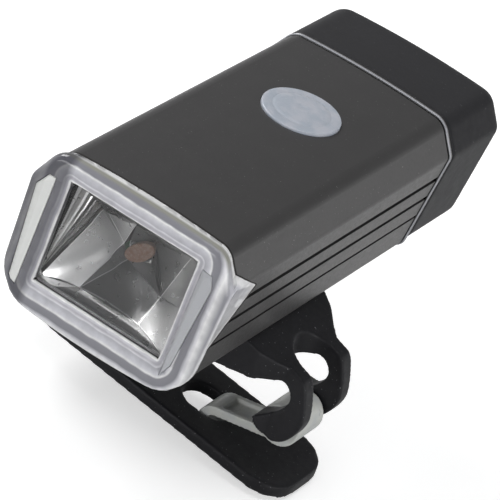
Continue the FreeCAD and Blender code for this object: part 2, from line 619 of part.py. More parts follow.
def make_lens():
    body = new_body("front_lens")
    loft(body, "lens", f"{LENS_FRONT} + lens_rim", lens_outline("0"),
         "front", SLEEVE_FRONT, section("0", corner_rounds("belly_round", "shoulder_round")))
    loft(body, "lens", LENS_FRONT, lens_outline("lens_rim"),
         "lens", f"{LENS_FRONT} + lens_rim", lens_outline("0"))
    extrude(body, "front", SLEEVE_FRONT, f"{SLEEVE_FRONT} + wing_reach", section("0"), section("sleeve_wall"))
    behind = f"{SLEEVE_FRONT} + wing_reach + 1"
    tip = (f"{SLEEVE_FRONT} + wing_reach", "wing_apex")
    upper = [(SLEEVE_FRONT, "wing_top"), tip, (behind, "wing_apex"), (behind, f"{CROWN} + 1"),
             (SLEEVE_FRONT, f"{CROWN} + 1")]
    lower = [(SLEEVE_FRONT, "-1"), (behind, "-1"), (behind, "wing_apex"), tip, (SLEEVE_FRONT, "wing_bottom")]
    for waste in (upper, lower):
        extrude(body, "side", "-half_width - 1", "half_width + 1", polygon(waste), cut=True)
    extrude(body, "front", SLEEVE_FRONT, f"{SLEEVE_FRONT} + spigot_length",
            section(BORE), section(f"({BORE} + spigot_wall)"))
    loft(body, "lens", WINDOW_BACK, window_outline("cavity_margin"),
         "front", f"{SLEEVE_FRONT} + spigot_length", window_outline("cavity_margin"), cut=True)
    extrude(body, "lens", LENS_FRONT, WINDOW_FRONT, window_outline("0"), cut=True)
    for side in (1, -1):
        extrude(body, "lens", LENS_FRONT, f"{LENS_FRONT} + guide_depth + seam_gap",
                polygon(guide_points(side, "seam_gap")), cut=True)


def make_light_guides():
    for label, side in (("light_guide_right", 1), ("light_guide_left", -1)):
        body = new_body(label)
        extrude(body, "lens", LENS_FRONT, f"{LENS_FRONT} + guide_depth", polygon(guide_points(side, "0")))


def make_lens_gasket():
    body = new_body("lens_gasket")
    extrude(body, "front", f"{SLEEVE_FRONT} + spigot_length", LED_BACK,
            section(BORE), section(f"({BORE} + spigot_wall)"))


# Reflector: a rectangular bowl from the window to the LED.
def make_reflector():
    body = new_body("reflector")
    mouth = "(cavity_margin - bowl_gap)"
    front = f"{WINDOW_BACK} + bowl_gap"

    def throat(margin):
        half = f"(bowl_throat + {margin})"
        return box(f"-{half}", half, f"{LED_HEIGHT} - {half}", f"{LED_HEIGHT} + {half}")
    loft(body, "lens", front, window_outline(mouth), "front", LED_FACE, throat("bowl_wall"))
    loft(body, "lens", front, window_outline(f"({mouth} - bowl_wall)"),
         "front", LED_FACE, throat("0"), cut=True)


def make_led_parts():
    board = new_body("led_board")
    half = "(shoulder_half_width - led_board_inset)"
    inside = f"{BORE} + spigot_wall + slide_gap"
    extrude(board, "front", LED_FACE, LED_BACK, box(f"-{half}", half, inside, f"shoulder_height - ({inside})"))
    screw_hole = "small_screw_radius + thread_gap"
    spots = [(text, LED_HEIGHT) for text in ("led_screw_offset", "-led_screw_offset")]
    extrude(board, "front", LED_FACE, LED_BACK, *(circle(x, z, screw_hole) for x, z in spots), cut=True)

    led = new_body("led_emitter")
    extrude(led, "front", f"{LED_FACE} - led_thickness", LED_FACE,
            box("-led_size / 2", "led_size / 2",
                f"{LED_HEIGHT} - led_size / 2", f"{LED_HEIGHT} + led_size / 2"))
    extrude(led, "front", f"{LED_FACE} - led_thickness - led_dome / 2", f"{LED_FACE} - led_thickness",
            circle("0", LED_HEIGHT, "led_dome"))
    soften(led, "led_dome * 0.4", on_plane(1, f"{LED_FACE} - led_thickness - led_dome / 2"))

    sink = new_body("heat_sink")
    extrude(sink, "front", LED_BACK, SINK_BACK, section(BORE))
    extrude(sink, "front", LED_BACK, f"{LED_BACK} + led_screw_length",
            *(circle(x, z, screw_hole) for x, z in spots), cut=True)
    extrude(sink, "front", LED_BACK, SINK_BACK,
            *(circle(x, BOARD_MIDDLE, "lead_radius + slide_gap") for x in ("lead_offset", "-lead_offset")),
            cut=True)

    group("led_leads", [cylinder(x, LED_BACK, BOARD_MIDDLE, "lead_radius", f"{BOARD_FRONT} - ({LED_BACK})", "y")
                        for x in ("lead_offset", "-lead_offset")])
    screws = []
    for x, z in spots:
        cap = cylinder(x, f"{LED_FACE} - small_head_height", z, "small_head_radius", "small_head_height", "y")
        shank = cylinder(x, LED_FACE, z, "small_screw_radius", "led_board_thickness + led_screw_length", "y")
        screws.append(fuse(cap, shank))
    group("led_board_screws", screws)


# Tray with the cell in its middle and screws in its two end blocks.
SCREW_X = f"({TRAY_HALF} - small_head_radius)"
BOARD_SCREWS = [(x, y) for x in (SCREW_X, f"-{SCREW_X}")
                for y in (f"{SINK_BACK} + tray_front / 2", f"{TRAY_REAR} - small_head_radius - slide_gap")]
REAR_SCREWS = [(x, "rear_screw_height") for x in ("rear_screw_offset", "-rear_screw_offset")]


def make_tray():
    body = new_body("inner_frame")
    extrude(body, "front", SINK_BACK, TRAY_REAR, box(f"-{TRAY_HALF}", TRAY_HALF, TRAY_BOTTOM, BOARD_BOTTOM))
    cell = "(battery_width / 2 + battery_gap)"
    extrude(body, "front", f"{CELL_FRONT} - battery_gap", f"{CELL_REAR} + battery_gap",
            box(f"-{cell}", cell, PAD_BOTTOM, BOARD_BOTTOM), cut=True)
    extrude(body, "top", "0", PAD_BOTTOM, circle("0", "0", "nut_flange_radius + slide_gap"), cut=True)
    extrude(body, "top", f"{BOARD_TOP} - small_screw_length - slide_gap", BOARD_BOTTOM,
            *(circle(x, y, "small_screw_radius + thread_gap") for x, y in BOARD_SCREWS), cut=True)
    extrude(body, "front", f"{TRAY_REAR} - rear_screw_bite - slide_gap", TRAY_REAR,
            *(circle(x, z, "rear_screw_radius + thread_gap") for x, z in REAR_SCREWS), cut=True)


def make_battery():
    half = "battery_width / 2"
    cell = new_body("battery_cell")
    extrude(cell, "front", CELL_FRONT, CELL_REAR, box(f"-{half}", half, CELL_BOTTOM, CELL_TOP))
    soften(cell, "battery_round", lambda edge: runs_along(edge, 1))
    pad = new_body("battery_pad")
    extrude(pad, "front", CELL_FRONT, CELL_REAR, box(f"-{half}", half, PAD_BOTTOM, CELL_BOTTOM))
    extrude(pad, "top", PAD_BOTTOM, CELL_BOTTOM, circle("0", "0", "nut_flange_radius + slide_gap"), cut=True)
    group("battery_tabs", [block(x, f"{x} + tab_width", CELL_REAR, f"{CELL_REAR} + tab_thickness",
                                 f"{CELL_TOP} - 2 * tab_width", BOARD_BOTTOM)
                           for x in ("tab_width", "-2 * tab_width")])


def make_board():
    board = new_body("main_board")
    extrude(board, "front", BOARD_FRONT, BOARD_REAR, box(f"-{BOARD_HALF}", BOARD_HALF, BOARD_BOTTOM, BOARD_TOP))
    extrude(board, "top", BOARD_BOTTOM, BOARD_TOP,
            *(circle(x, y, "small_screw_radius + thread_gap") for x, y in BOARD_SCREWS), cut=True)
    screws = []
    for x, y in BOARD_SCREWS:
        cap = cylinder(x, y, BOARD_TOP, "small_head_radius", "small_head_height", "z")
        shank = cylinder(x, y, f"{BOARD_TOP} - small_screw_length", "small_screw_radius",
                         "small_screw_length", "z")
        screws.append(fuse(cap, shank))
    group("board_screws", screws)
    for label, word in (("driver_chip", "chip"), ("driver_coil", "coil")):
        body = new_body(label)
        y = f"{word}_setback - swivel_setback"
        half = f"{word}_size / 2"
        extrude(body, "top", BOARD_TOP, f"{BOARD_TOP} + {word}_height",
                box(f"-{half}", half, f"{y} - {half}", f"{y} + {half}"))
        soften(body, f"{word}_height / 4", lambda edge: runs_along(edge, 2))
    half = "indicator_size / 2"
    group("indicator_leds", [block(f"{x} - {half}", f"{x} + {half}", f"{BUTTON_Y} - {half}",
                                   f"{BUTTON_Y} + {half}", BOARD_TOP, f"{BOARD_TOP} + indicator_height")
                             for x in ("indicator_offset", "-indicator_offset")])


# Charge port: a rounded shell on the board's rear end with a tongue inside.
def port_outline(margin):
    return slot(f"-port_width / 2 - {margin}", f"port_width / 2 + {margin}",
                f"{BOARD_TOP} - {margin}", f"{BOARD_TOP} + port_height + {margin}")


def make_charge_port():
    body = new_body("charge_port")
    rear = f"{STUB_REAR} - tunnel_gap"
    front = f"{rear} - port_depth"
    extrude(body, "front", front, rear, port_outline("0"))
    extrude(body, "front", f"{front} + 4 * port_skin", rear, port_outline("(-port_skin)"), cut=True)
    tongue, middle = "port_width / 3", f"{BOARD_TOP} + port_height / 2"
    extrude(body, "front", f"{front} + 3 * port_skin", f"{rear} - 2 * port_skin",
            box(f"-{tongue}", tongue, f"{middle} - port_skin", f"{middle} + port_skin"))


def make_button_parts():
    bridge = new_body("button_frame")
    half, leg = "bridge_half_width", "(bridge_half_width - bridge_leg)"
    front, rear = f"{BUTTON_Y} - bridge_half_length", f"{BUTTON_Y} + bridge_half_length"
    extrude(bridge, "front", front, rear, box(f"-{half}", half, BOARD_TOP, BRIDGE_TOP))
    extrude(bridge, "front", front, rear, box(f"-{leg}", leg, BOARD_TOP, BRIDGE_BOTTOM), cut=True)
    extrude(bridge, "top", BRIDGE_BOTTOM, BRIDGE_TOP,
            circle("0", BUTTON_Y, "stem_radius + tunnel_gap"), cut=True)

    switch = new_body("switch_body")
    half = "switch_size / 2"
    extrude(switch, "top", BOARD_TOP, SWITCH_TOP,
            box(f"-{half}", half, f"{BUTTON_Y} - {half}", f"{BUTTON_Y} + {half}"))
    plunger_foot = f"{SWITCH_TOP} - plunger_seat"
    extrude(switch, "top", f"{plunger_foot} - button_travel - slide_gap", SWITCH_TOP,
            circle("0", BUTTON_Y, "plunger_radius + plunger_gap"), cut=True)
    plunger = new_body("switch_plunger")
    extrude(plunger, "top", plunger_foot, PLUNGER_TOP, circle("0", BUTTON_Y, "plunger_radius"))

    button = new_body("power_button")
    top = f"{CROWN} + button_proud"
    extrude(button, "top", FLANGE_BOTTOM, CEILING, circle("0", BUTTON_Y, "flange_radius"))
    extrude(button, "top", CEILING, top, circle("0", BUTTON_Y, "button_radius"))
    soften(button, "button_proud * 0.6", on_plane(2, top))
    extrude(button, "top", PLUNGER_TOP, FLANGE_BOTTOM, circle("0", BUTTON_Y, "stem_radius"))
    extrude(button, "top", f"{top} - dimple_depth", top, circle("0", BUTTON_Y, "dimple_radius"), cut=True)
    extrude(button, "top", f"{top} - dimple_depth", top, circle("0", BUTTON_Y, "ring_radius"),
            circle("0", BUTTON_Y, "ring_radius - dimple_depth"), cut=True)


# Rear: a frame with a lip and a stub, screwed to the tray, and a soft cap that pulls off the stub.
def make_rear_frame():
    body = new_body("rear_frame")
    extrude(body, "front", SLEEVE_REAR, LIP_REAR, section("lip_inset"))
    soften(body, "shoulder_round", long_edge("shoulder_half_width - lip_inset", "shoulder_height - lip_inset",
                                             SLEEVE_REAR, LIP_REAR))
    soften(body, "belly_round", long_edge("base_half_width - lip_inset", "lip_inset", SLEEVE_REAR, LIP_REAR))
    extrude(body, "front", TRAY_REAR, SLEEVE_REAR, section(BORE))
    extrude(body, "front", LIP_REAR, STUB_REAR, section("(cap_wall + cap_fit)"))
    groove = f"{LIP_REAR} + seal_setback"
    extrude(body, "front", groove, f"{groove} + seal_width",
            section("(cap_wall / 2)"), section("(cap_wall + cap_fit + seal_depth)"), cut=True)
    half = f"({BOARD_HALF} + tunnel_gap)"
    extrude(body, "front", TRAY_REAR, PORT_REAR,
            box(f"-{half}", half, f"{BOARD_BOTTOM} - tunnel_gap", f"{BOARD_TOP} + port_height + tunnel_gap"),
            cut=True)
    extrude(body, "front", PORT_REAR, STUB_REAR, port_outline("slide_gap"), cut=True)
    extrude(body, "front", TRAY_REAR, STUB_REAR,
            *(circle(x, z, "rear_screw_radius + thread_gap") for x, z in REAR_SCREWS), cut=True)
    extrude(body, "front", f"{STUB_REAR} - rear_head_height", STUB_REAR,
            *(circle(x, z, "rear_head_radius + thread_gap") for x, z in REAR_SCREWS), cut=True)

    seal = new_body("cap_seal")
    extrude(seal, "front", groove, f"{groove} + seal_width",
            section("(cap_wall + seal_fit)"), section("(cap_wall + cap_fit + seal_depth)"))

    screws = []
    under_head = f"{STUB_REAR} - rear_head_height"
    tip = f"{TRAY_REAR} - rear_screw_bite"
    for x, z in REAR_SCREWS:
        cap = cylinder(x, under_head, z, "rear_head_radius", "rear_head_height", "y")
        shank = cylinder(x, tip, z, "rear_screw_radius", f"{under_head} - ({tip})", "y")
        screws.append(fuse(cap, shank))
    group("rear_screws", screws)


def make_rear_cap():
    body = new_body("rear_cap")
    extrude(body, "front", CAP_FRONT, CAP_REAR, section("0"))
    soften(body, "cap_edge_round", long_edge("shoulder_half_width", "shoulder_height", CAP_FRONT, CAP_REAR))
    soften(body, "cap_edge_round", long_edge("base_half_width", "0", CAP_FRONT, CAP_REAR))
    soften(body, "ridge_round", long_edge("half_width", "ridge_height", CAP_FRONT, CAP_REAR))
    soften(body, "cap_round", on_plane(1, CAP_REAR))
    extrude(body, "front", CAP_FRONT, f"{CAP_REAR} - cap_end_wall", section("cap_wall"), cut=True)


# Swivel: plate and ring under the belly, a hard core in the saddle, and a screw with its washer
# that holds the core from below in a threaded insert.
def disc(label, low, high, *radii):
    body = new_body(label)
    extrude(body, "top", low, high, *(circle("0", "0", radius) for radius in radii))
    return body


def make_swivel():
    shank = "pivot_radius + pivot_gap"
    disc("swivel_plate", PLATE_BOTTOM, "0", "plate_radius", shank)
    disc("friction_ring", RING_BOTTOM, PLATE_BOTTOM, "washer_outer", "washer_inner")
    disc("swivel_core", CORE_BOTTOM, SADDLE_TOP, "core_radius", shank)
    disc("pivot_washer", HEAD_TOP, WASHER_TOP, "pivot_washer_radius", "pivot_radius + thread_gap")
    screw = disc("pivot_screw", HEAD_TOP, NUT_TOP, "pivot_radius")
    extrude(screw, "top", HEAD_BOTTOM, HEAD_TOP, circle("0", "0", "pivot_head_radius"))
    key = "pivot_radius / 1.25"
    corners = [(f"{key} * cos({angle})", f"{key} * sin({angle})") for angle in range(0, 360, 60)]
    extrude(screw, "top", HEAD_BOTTOM, f"{HEAD_BOTTOM} + pivot_head_height * 0.7", polygon(corners), cut=True)
    nut = disc("pivot_nut", "0", "sleeve_wall", "nut_radius", "pivot_radius + thread_gap")
    extrude(nut, "top", "sleeve_wall", NUT_TOP, circle("0", "0", "nut_flange_radius"),
            circle("0", "0", "pivot_radius + thread_gap"))


# Saddle: a disc with a hollow seat for the bar, a neck that narrows to two arms, and a root for
# the strap on the other side.
STRAP_TOP = "(-strap_bend_depth + strap_bend + strap_thickness / 2)"
STRAP_UNDER = "(-strap_bend_depth + strap_bend - strap_thickness / 2)"


def make_saddle():
    body = new_body("saddle_bracket")
    inner = "(arm_reach - arm_thickness)"
    neck_root = "(saddle_radius - neck_overlap)"
    slope_start = "(saddle_radius - disc_bevel)"
    claw_tip = f"({inner} - claw_reach)"
    claw_start = f"({claw_tip} + claw_waist)"
    side = [(neck_root, "-saddle_depth"), ("saddle_radius", "-saddle_depth - lip_drop"),
            (f"{inner} - elbow_run", "-saddle_depth - lip_drop / 3"), (inner, "-saddle_depth - elbow_drop"),
            (claw_start, "-arm_depth + claw_rise"), (claw_tip, "-arm_depth + claw_rise - claw_waist / 2"),
            (claw_start, "-arm_depth + claw_waist"), (f"{inner} - claw_waist / 2", "-arm_depth"),
            ("arm_reach - toe_inset", "-arm_depth + toe_rise"), ("arm_reach", "-arm_depth + shin_rise"),
            ("arm_reach - knee_inset", "-saddle_depth - lip_drop"),
            ("arm_reach - 2 * knee_inset", "-saddle_depth + hip_rise / 2"),
            ("arm_reach - hip_inset", "-saddle_depth + hip_rise"),
            (slope_start, SADDLE_TOP), (neck_root, SADDLE_TOP)]
    swell = "arm_thickness / 12"
    rises = {2: f"-2 * {swell}", 3: f"-2 * {swell}", 5: swell, 6: swell, 7: swell, 8: swell, 9: f"{swell} / 2",
             10: f"{swell} / 2"}
    extrude(body, "front", "-neck_half_width - 1", "neck_half_width + 1", polygon(side, rises))
    waist = "(saddle_radius + neck_run)"
    plan = [(neck_root, "-neck_half_width"), ("saddle_radius", "-neck_half_width + neck_taper"),
            (waist, "-arm_span"), ("arm_reach + 1", "-arm_span"), ("arm_reach + 1", "arm_span"),
            (waist, "arm_span"), ("saddle_radius", "neck_half_width - neck_taper"),
            (neck_root, "neck_half_width")]
    round_about = box(f"{neck_root} - 1", "arm_reach + 3", "-neck_half_width - 2", "neck_half_width + 2")
    extrude(body, "top", "-arm_depth - 1", "0", round_about, polygon(plan), cut=True)
    extrude(body, "top", "-saddle_depth", SADDLE_TOP, circle("0", "0", "saddle_radius"))
    over = [(slope_start, SADDLE_TOP), ("arm_reach - hip_inset", "-saddle_depth + hip_rise"),
            ("arm_reach + 1", "-saddle_depth + hip_rise"), ("arm_reach + 1", "1"), (slope_start, "1")]
    extrude(body, "front", "-saddle_radius", "saddle_radius", polygon(over), cut=True)
    extrude(body, "front", "-strap_half_width", "strap_half_width",
            box("-strap_root", "-saddle_radius + 4", STRAP_UNDER, STRAP_TOP))
    seat_reach = "saddle_radius + 1"
    extrude(body, "front", f"-({seat_reach})", seat_reach,
            circle("0", "-seat_depth - bar_radius", "bar_radius"), cut=True)
    slot_middle = "slot_reach + arm_slot"
    gap = [(slot_middle, "-arm_slot"), ("arm_reach + 1", "-arm_slot"), ("arm_reach + 1", "arm_slot"),
           (slot_middle, "arm_slot")]
    extrude(body, "top", "-arm_depth - 1", "0", polygon(gap, {3: "arm_slot"}), cut=True)
    extrude(body, "top", "-arm_depth - 1", "-saddle_depth - elbow_drop",
            box("saddle_radius", "arm_reach + 1", "-arm_slot", "arm_slot"), cut=True)
    extrude(body, "top", CORE_BOTTOM, SADDLE_TOP, circle("0", "0", "core_radius + thread_gap"), cut=True)
    extrude(body, "top", "-seat_depth - 1", CORE_BOTTOM,
            circle("0", "0", "pivot_washer_radius + recess_gap"), cut=True)
    extrude(body, "front", f"-{PIN_HALF} - thread_gap", f"{PIN_HALF} + thread_gap",
            circle(PIN_X, PIN_Z, "pin_radius + thread_gap"), cut=True)


# Strap: out from the saddle's root, round the bend and back under the bar to its tip.
def make_strap():
    body = new_body("strap")
    outer = "(strap_bend + strap_thickness / 2)"
    inner = "(strap_bend - strap_thickness / 2)"
    bend_x, bend_z = "-strap_bend_reach", "-strap_bend_depth"

    def on_bend(radius):
        return (f"({bend_x} - {radius} * sin(strap_fall))", f"({bend_z} - {radius} * cos(strap_fall))")

    def on_tip(radius):
        x, z = on_bend(radius)
        return ("strap_end", f"({z} - tan(strap_fall) * (strap_end - {x}))")
    rise = "(1 - cos(90 - strap_fall / 2))"
    points = [("-strap_root", STRAP_TOP), (bend_x, STRAP_TOP), on_bend(outer), on_tip(outer), on_tip(inner),
              on_bend(inner), (bend_x, STRAP_UNDER), ("-strap_root", STRAP_UNDER)]
    extrude(body, "front", "-strap_half_width", "strap_half_width",
            polygon(points, {1: f"{outer} * {rise}", 5: f"-{inner} * {rise}"}))
    soften(body, "strap_tip_round", lambda edge: runs_along(edge, 2) and near(edge.CenterOfMass.x, "strap_end"))
    half = "(clip_half_width + hook_gap)"
    extrude(body, "top", f"{bend_z} - 2 * {outer}", bend_z,
            slot("hook_reach + hole_lead - hole_length", "hook_reach + hole_lead", f"-{half}", half), cut=True)


# Clip: a channelled tongue with a hook at one end and a head between the arms at the other.
def make_clip():
    body = new_body("hook_clip")
    hook_bend = "(strap_thickness / 2 + hook_slack)"
    fall = "tan(strap_fall) * (strap_bend_reach + hook_reach)"
    run_top = f"(-strap_bend_depth - strap_bend - {fall} + strap_thickness / 2)"
    tongue_under = f"({run_top} + tongue_gap)"
    tongue_top = f"({tongue_under} + tongue_thickness)"
    tail_top = f"({tongue_under} - 2 * {hook_bend})"
    tail_under = f"({tail_top} - hook_thickness)"
    tail_end = "(hook_reach + hook_tail)"
    head_z = f"({PIN_Z} - head_drop)"
    root = f"({head_z} - tongue_root)"
    points = [("hook_reach", tail_under), (tail_end, tail_under), (tail_end, tail_top),
              ("hook_reach", tail_top), ("hook_reach", tongue_under),
              (PIN_X, root), (PIN_X, f"{root} + tongue_thickness"), ("hook_reach", tongue_top)]
    rises = {3: f"-{hook_bend}", 7: f"({tongue_top} - {tail_under}) / 2"}
    extrude(body, "front", "-clip_half_width", "clip_half_width", polygon(points, rises))
    channel = [("hook_reach", f"{tongue_top} - channel_depth"),
               (PIN_X, f"{root} + tongue_thickness - channel_depth"),
               (PIN_X, f"{root} + tongue_thickness + 1"), ("hook_reach", f"{tongue_top} + 1")]
    extrude(body, "front", f"-{CHANNEL_HALF}", CHANNEL_HALF, polygon(channel), cut=True)
    extrude(body, "front", f"-{HEAD_HALF}", HEAD_HALF, circle(PIN_X, head_z, "head_radius"))
    extrude(body, "front", f"-{HEAD_HALF}", HEAD_HALF,
            circle(PIN_X, PIN_Z, "pin_radius + pin_gap"), cut=True)
    pin = new_body("clip_pin")
    extrude(pin, "front", f"-{PIN_HALF}", PIN_HALF, circle(PIN_X, PIN_Z, "pin_radius"))


def write_nodes():
    doc.recompute()
    for item in doc.Objects:
        if "Invalid" in item.State or "Error" in item.State:
            raise RuntimeError(f"{item.Name} could not be worked out")
    os.makedirs("parts", exist_ok=True)
    for label, part in nodes.items():
        if part.Shape.isNull() or not part.Shape.isValid():
            raise RuntimeError(f"{label} has no sound solid")
        part.Shape.exportStep(f"parts/{label}.step")
    print(f"{len(nodes)} nodes")


make_sleeve()
make_lens()
make_light_guides()
make_lens_gasket()
make_reflector()
make_led_parts()
make_tray()
make_battery()
make_board()
make_charge_port()
make_button_parts()
make_rear_frame()
make_rear_cap()
make_swivel()
make_saddle()
make_strap()
make_clip()
write_nodes()
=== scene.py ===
import bmesh
import bpy
import json
import math
from mathutils import Matrix, Vector


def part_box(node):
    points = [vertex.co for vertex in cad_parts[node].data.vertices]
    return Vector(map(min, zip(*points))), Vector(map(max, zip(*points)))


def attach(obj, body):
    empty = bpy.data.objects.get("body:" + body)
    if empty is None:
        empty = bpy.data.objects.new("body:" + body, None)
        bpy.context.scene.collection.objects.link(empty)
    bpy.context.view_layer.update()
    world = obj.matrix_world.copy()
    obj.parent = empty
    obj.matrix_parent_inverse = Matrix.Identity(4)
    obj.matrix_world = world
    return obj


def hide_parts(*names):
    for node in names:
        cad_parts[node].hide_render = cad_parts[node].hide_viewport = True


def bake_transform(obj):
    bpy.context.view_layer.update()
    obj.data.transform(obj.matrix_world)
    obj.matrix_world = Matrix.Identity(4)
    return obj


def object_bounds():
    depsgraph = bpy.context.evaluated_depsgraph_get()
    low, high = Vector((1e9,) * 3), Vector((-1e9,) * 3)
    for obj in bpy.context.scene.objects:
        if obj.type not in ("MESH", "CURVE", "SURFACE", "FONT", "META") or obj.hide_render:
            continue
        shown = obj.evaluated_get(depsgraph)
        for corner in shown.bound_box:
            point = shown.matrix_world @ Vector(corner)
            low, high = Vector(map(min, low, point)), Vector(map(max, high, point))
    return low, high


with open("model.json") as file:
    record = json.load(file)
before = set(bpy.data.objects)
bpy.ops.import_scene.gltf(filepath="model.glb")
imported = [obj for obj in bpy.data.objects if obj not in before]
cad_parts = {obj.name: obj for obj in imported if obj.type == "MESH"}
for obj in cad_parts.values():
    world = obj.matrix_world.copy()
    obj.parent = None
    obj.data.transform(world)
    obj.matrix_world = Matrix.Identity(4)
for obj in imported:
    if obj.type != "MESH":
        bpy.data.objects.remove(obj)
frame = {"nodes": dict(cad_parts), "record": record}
CAD_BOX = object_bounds()

MM = 0.001
NODES = frame["nodes"]

# The sleeve's belly, front edge and rear edge, in millimetres. Outlines are drawn from there.
SLEEVE_LOW, SLEEVE_HIGH = (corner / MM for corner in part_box("housing_shell"))
BELLY, FRONT, REAR = SLEEVE_LOW.z, SLEEVE_LOW.y, SLEEVE_HIGH.y

# Outlines by the foot, ridge and shoulder of their right half: sideways, up from the belly, and the
# corner's radius. Then how far the top and the bottom edge bow out in the middle.
SLEEVE = ((15.6, 0.0, 1.9), (18.0, 19.3, 1.5), (14.8, 24.4, 3.0), 0.6, 0.0)
LENS = ((17.5, -0.5, 6.2), (18.4, 19.1, 2.6), (15.4, 24.75, 3.4), 0.3, 1.0)
WINDOW = ((11.8, 4.1, 0.5), (11.7, 20.6, 0.4), (11.0, 21.4, 0.4), 0.0, 0.0)
WINDOW_HALF_WIDTH, WINDOW_HALF_HEIGHT, WINDOW_MIDDLE = 11.75, 8.65, 12.75
# How far the lens front stands before the sleeve at the belly, and how far it leans back per height.
LENS_DEPTH, LENS_LEAN = 5.3, 0.0967
# The lens wing in the sleeve's side: how far back and how high its foot, tip and upper end are.
WING = Vector((0, 4.5)), Vector((6.9, 17.2)), Vector((0, 21.1))


def in_mm(node):
    low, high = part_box(node)
    return low / MM, high / MM


def link(name, data):
    obj = bpy.data.objects.new(name, data)
    bpy.context.scene.collection.objects.link(obj)
    return obj


def piece(name, verts, faces, sharp=35):
    """A mesh object from points in millimetres, smooth but for edges sharper than an angle."""
    mesh = bpy.data.meshes.new(name)
    mesh.from_pydata([Vector(v) * MM for v in verts], [], faces)
    mesh.validate()
    outward(mesh)
    return shaded(link(name, mesh), sharp)


def outward(mesh):
    work = bmesh.new()
    work.from_mesh(mesh)
    bmesh.ops.recalc_face_normals(work, faces=work.faces)
    work.to_mesh(mesh)
    work.free()


def shaded(obj, sharp):
    obj.data.polygons.foreach_set("use_smooth", [True] * len(obj.data.polygons))
    obj.data.set_sharp_from_angle(angle=math.radians(sharp))
    return obj


def skin(rings, around=False):
    """Points and faces of a skin over rings with as many points each, capped or closed around."""
    count = len(rings[0])
    verts = [v for ring in rings for v in ring]
    faces = []
    for low in range(len(rings) if around else len(rings) - 1):
        high = (low + 1) % len(rings)
        for k in range(count):
            ahead = (k + 1) % count
            faces.append((low * count + k, low * count + ahead, high * count + ahead, high * count + k))
    if not around:
        faces.append(tuple(range(count - 1, -1, -1)))
        faces.append(tuple(range(len(verts) - count, len(verts))))
    return verts, faces


def applied(obj, sharp=35):
    """The object with its modifiers worked into the mesh."""
    bpy.context.view_layer.update()
    worked = obj.evaluated_get(bpy.context.evaluated_depsgraph_get())
    mesh = bpy.data.meshes.new_from_object(worked)
    obj.modifiers.clear()
    obj.data = mesh
    return shaded(obj, sharp)


def moulded(name, node, voxel, passes):
    """A fine copy of a CAD solid whose edges are worn round, as on a moulded soft part."""
    obj = copied(name, node)
    remesh = obj.modifiers.new("Fine", "REMESH")
    remesh.mode, remesh.voxel_size = "VOXEL", voxel * MM
    round_off = obj.modifiers.new("Round", "SMOOTH")
    round_off.factor, round_off.iterations = 0.5, passes
    return applied(obj, sharp=180)


LEAST_RADIUS = 0.08
# How near to its top and bottom corners an outline bows.
TOP_BAND, BOTTOM_BAND = 0.7, 1.5


def rounded(shape, inset=0.0, arc=8, side=14):
    """A closed outline about the middle line, as (x, z) from the belly, with round corners."""
    *corners, top_bow, bottom_bow = shape
    right = [Vector(corner[:2]) for corner in corners]
    points = [Vector((-p.x, p.y)) for p in right[:1]] + right + [Vector((-p.x, p.y)) for p in right[:0:-1]]
    foot_radius, ridge_radius, shoulder_radius = (corner[2] for corner in corners)
    radii = [foot_radius, foot_radius, ridge_radius, shoulder_radius, shoulder_radius, ridge_radius]
    radii = [max(radius - inset, LEAST_RADIUS) for radius in radii]
    count = len(points)
    moved = []
    for k, point in enumerate(points):
        into = (point - points[k - 1]).normalized()
        out = (points[(k + 1) % count] - point).normalized()
        inward_in, inward_out = Vector((-into.y, into.x)), Vector((-out.y, out.x))
        moved.append(point + (inward_in + inward_out) * inset / (1 + inward_in.dot(inward_out)))
    ring = []
    for k, point in enumerate(moved):
        into = (point - moved[k - 1]).normalized()
        ahead = moved[(k + 1) % count]
        out = (ahead - point).normalized()
        turn = into.angle(out)
        reach = radii[k] * math.tan(turn / 2)
        start = point - into * reach
        centre = start + Vector((-into.y, into.x)) * radii[k]
        spoke = start - centre
        for step in range(arc + 1):
            angle = turn * step / arc
            ring.append(centre + Vector((spoke.x * math.cos(angle) - spoke.y * math.sin(angle),
                                         spoke.x * math.sin(angle) + spoke.y * math.cos(angle))))
        begin = ring[-1].copy()
        next_turn = out.angle((moved[(k + 2) % count] - ahead).normalized())
        finish = ahead - out * radii[(k + 1) % count] * math.tan(next_turn / 2)
        ring += [begin.lerp(finish, step / side) for step in range(1, side)]
    foot, shoulder = moved[1], moved[3]
    for p in ring:
        if p.y > shoulder.y - TOP_BAND:
            p.y += top_bow * max(0, 1 - (p.x / shoulder.x) ** 2)
        elif p.y < foot.y + BOTTOM_BAND:
            p.y -= bottom_bow * max(0, 1 - (p.x / foot.x) ** 2)
    return ring


def on_front(ring, depth):
    """Points of an outline on the leaning lens front, a depth behind it."""
    return [(p.x, FRONT - LENS_DEPTH + LENS_LEAN * p.y + depth, BELLY + p.y) for p in ring]


def on_section(ring, y):
    """Points of an outline at a distance behind the sleeve's front edge."""
    return [(p.x, FRONT + y, BELLY + p.y) for p in ring]


def between(first, second, share):
    return [a.lerp(b, share) for a, b in zip(first, second)]


def carved(obj, tool, operation="DIFFERENCE", sharp=35):
    """The object cut by, joined with or kept inside a tool object, which is used up."""
    step = obj.modifiers.new("Carve", "BOOLEAN")
    step.operation, step.solver, step.object = operation, "EXACT", tool
    applied(obj, sharp)
    bpy.data.objects.remove(tool)
    return obj


def hull(name, points, sharp=20):
    mesh = bpy.data.meshes.new(name)
    work = bmesh.new()
    for point in points:
        work.verts.new(Vector(point) * MM)
    bmesh.ops.convex_hull(work, input=work.verts)
    work.to_mesh(mesh)
    work.free()
    return shaded(link(name, mesh), sharp)


def edged(obj, width, steps, angle, sharp):
    """The object with its edges worn round by a width in millimetres."""
    worn = obj.modifiers.new("Edge", "BEVEL")
    worn.width, worn.segments, worn.limit_method = width * MM, steps, "ANGLE"
    worn.angle_limit = math.radians(angle)
    return applied(obj, sharp)


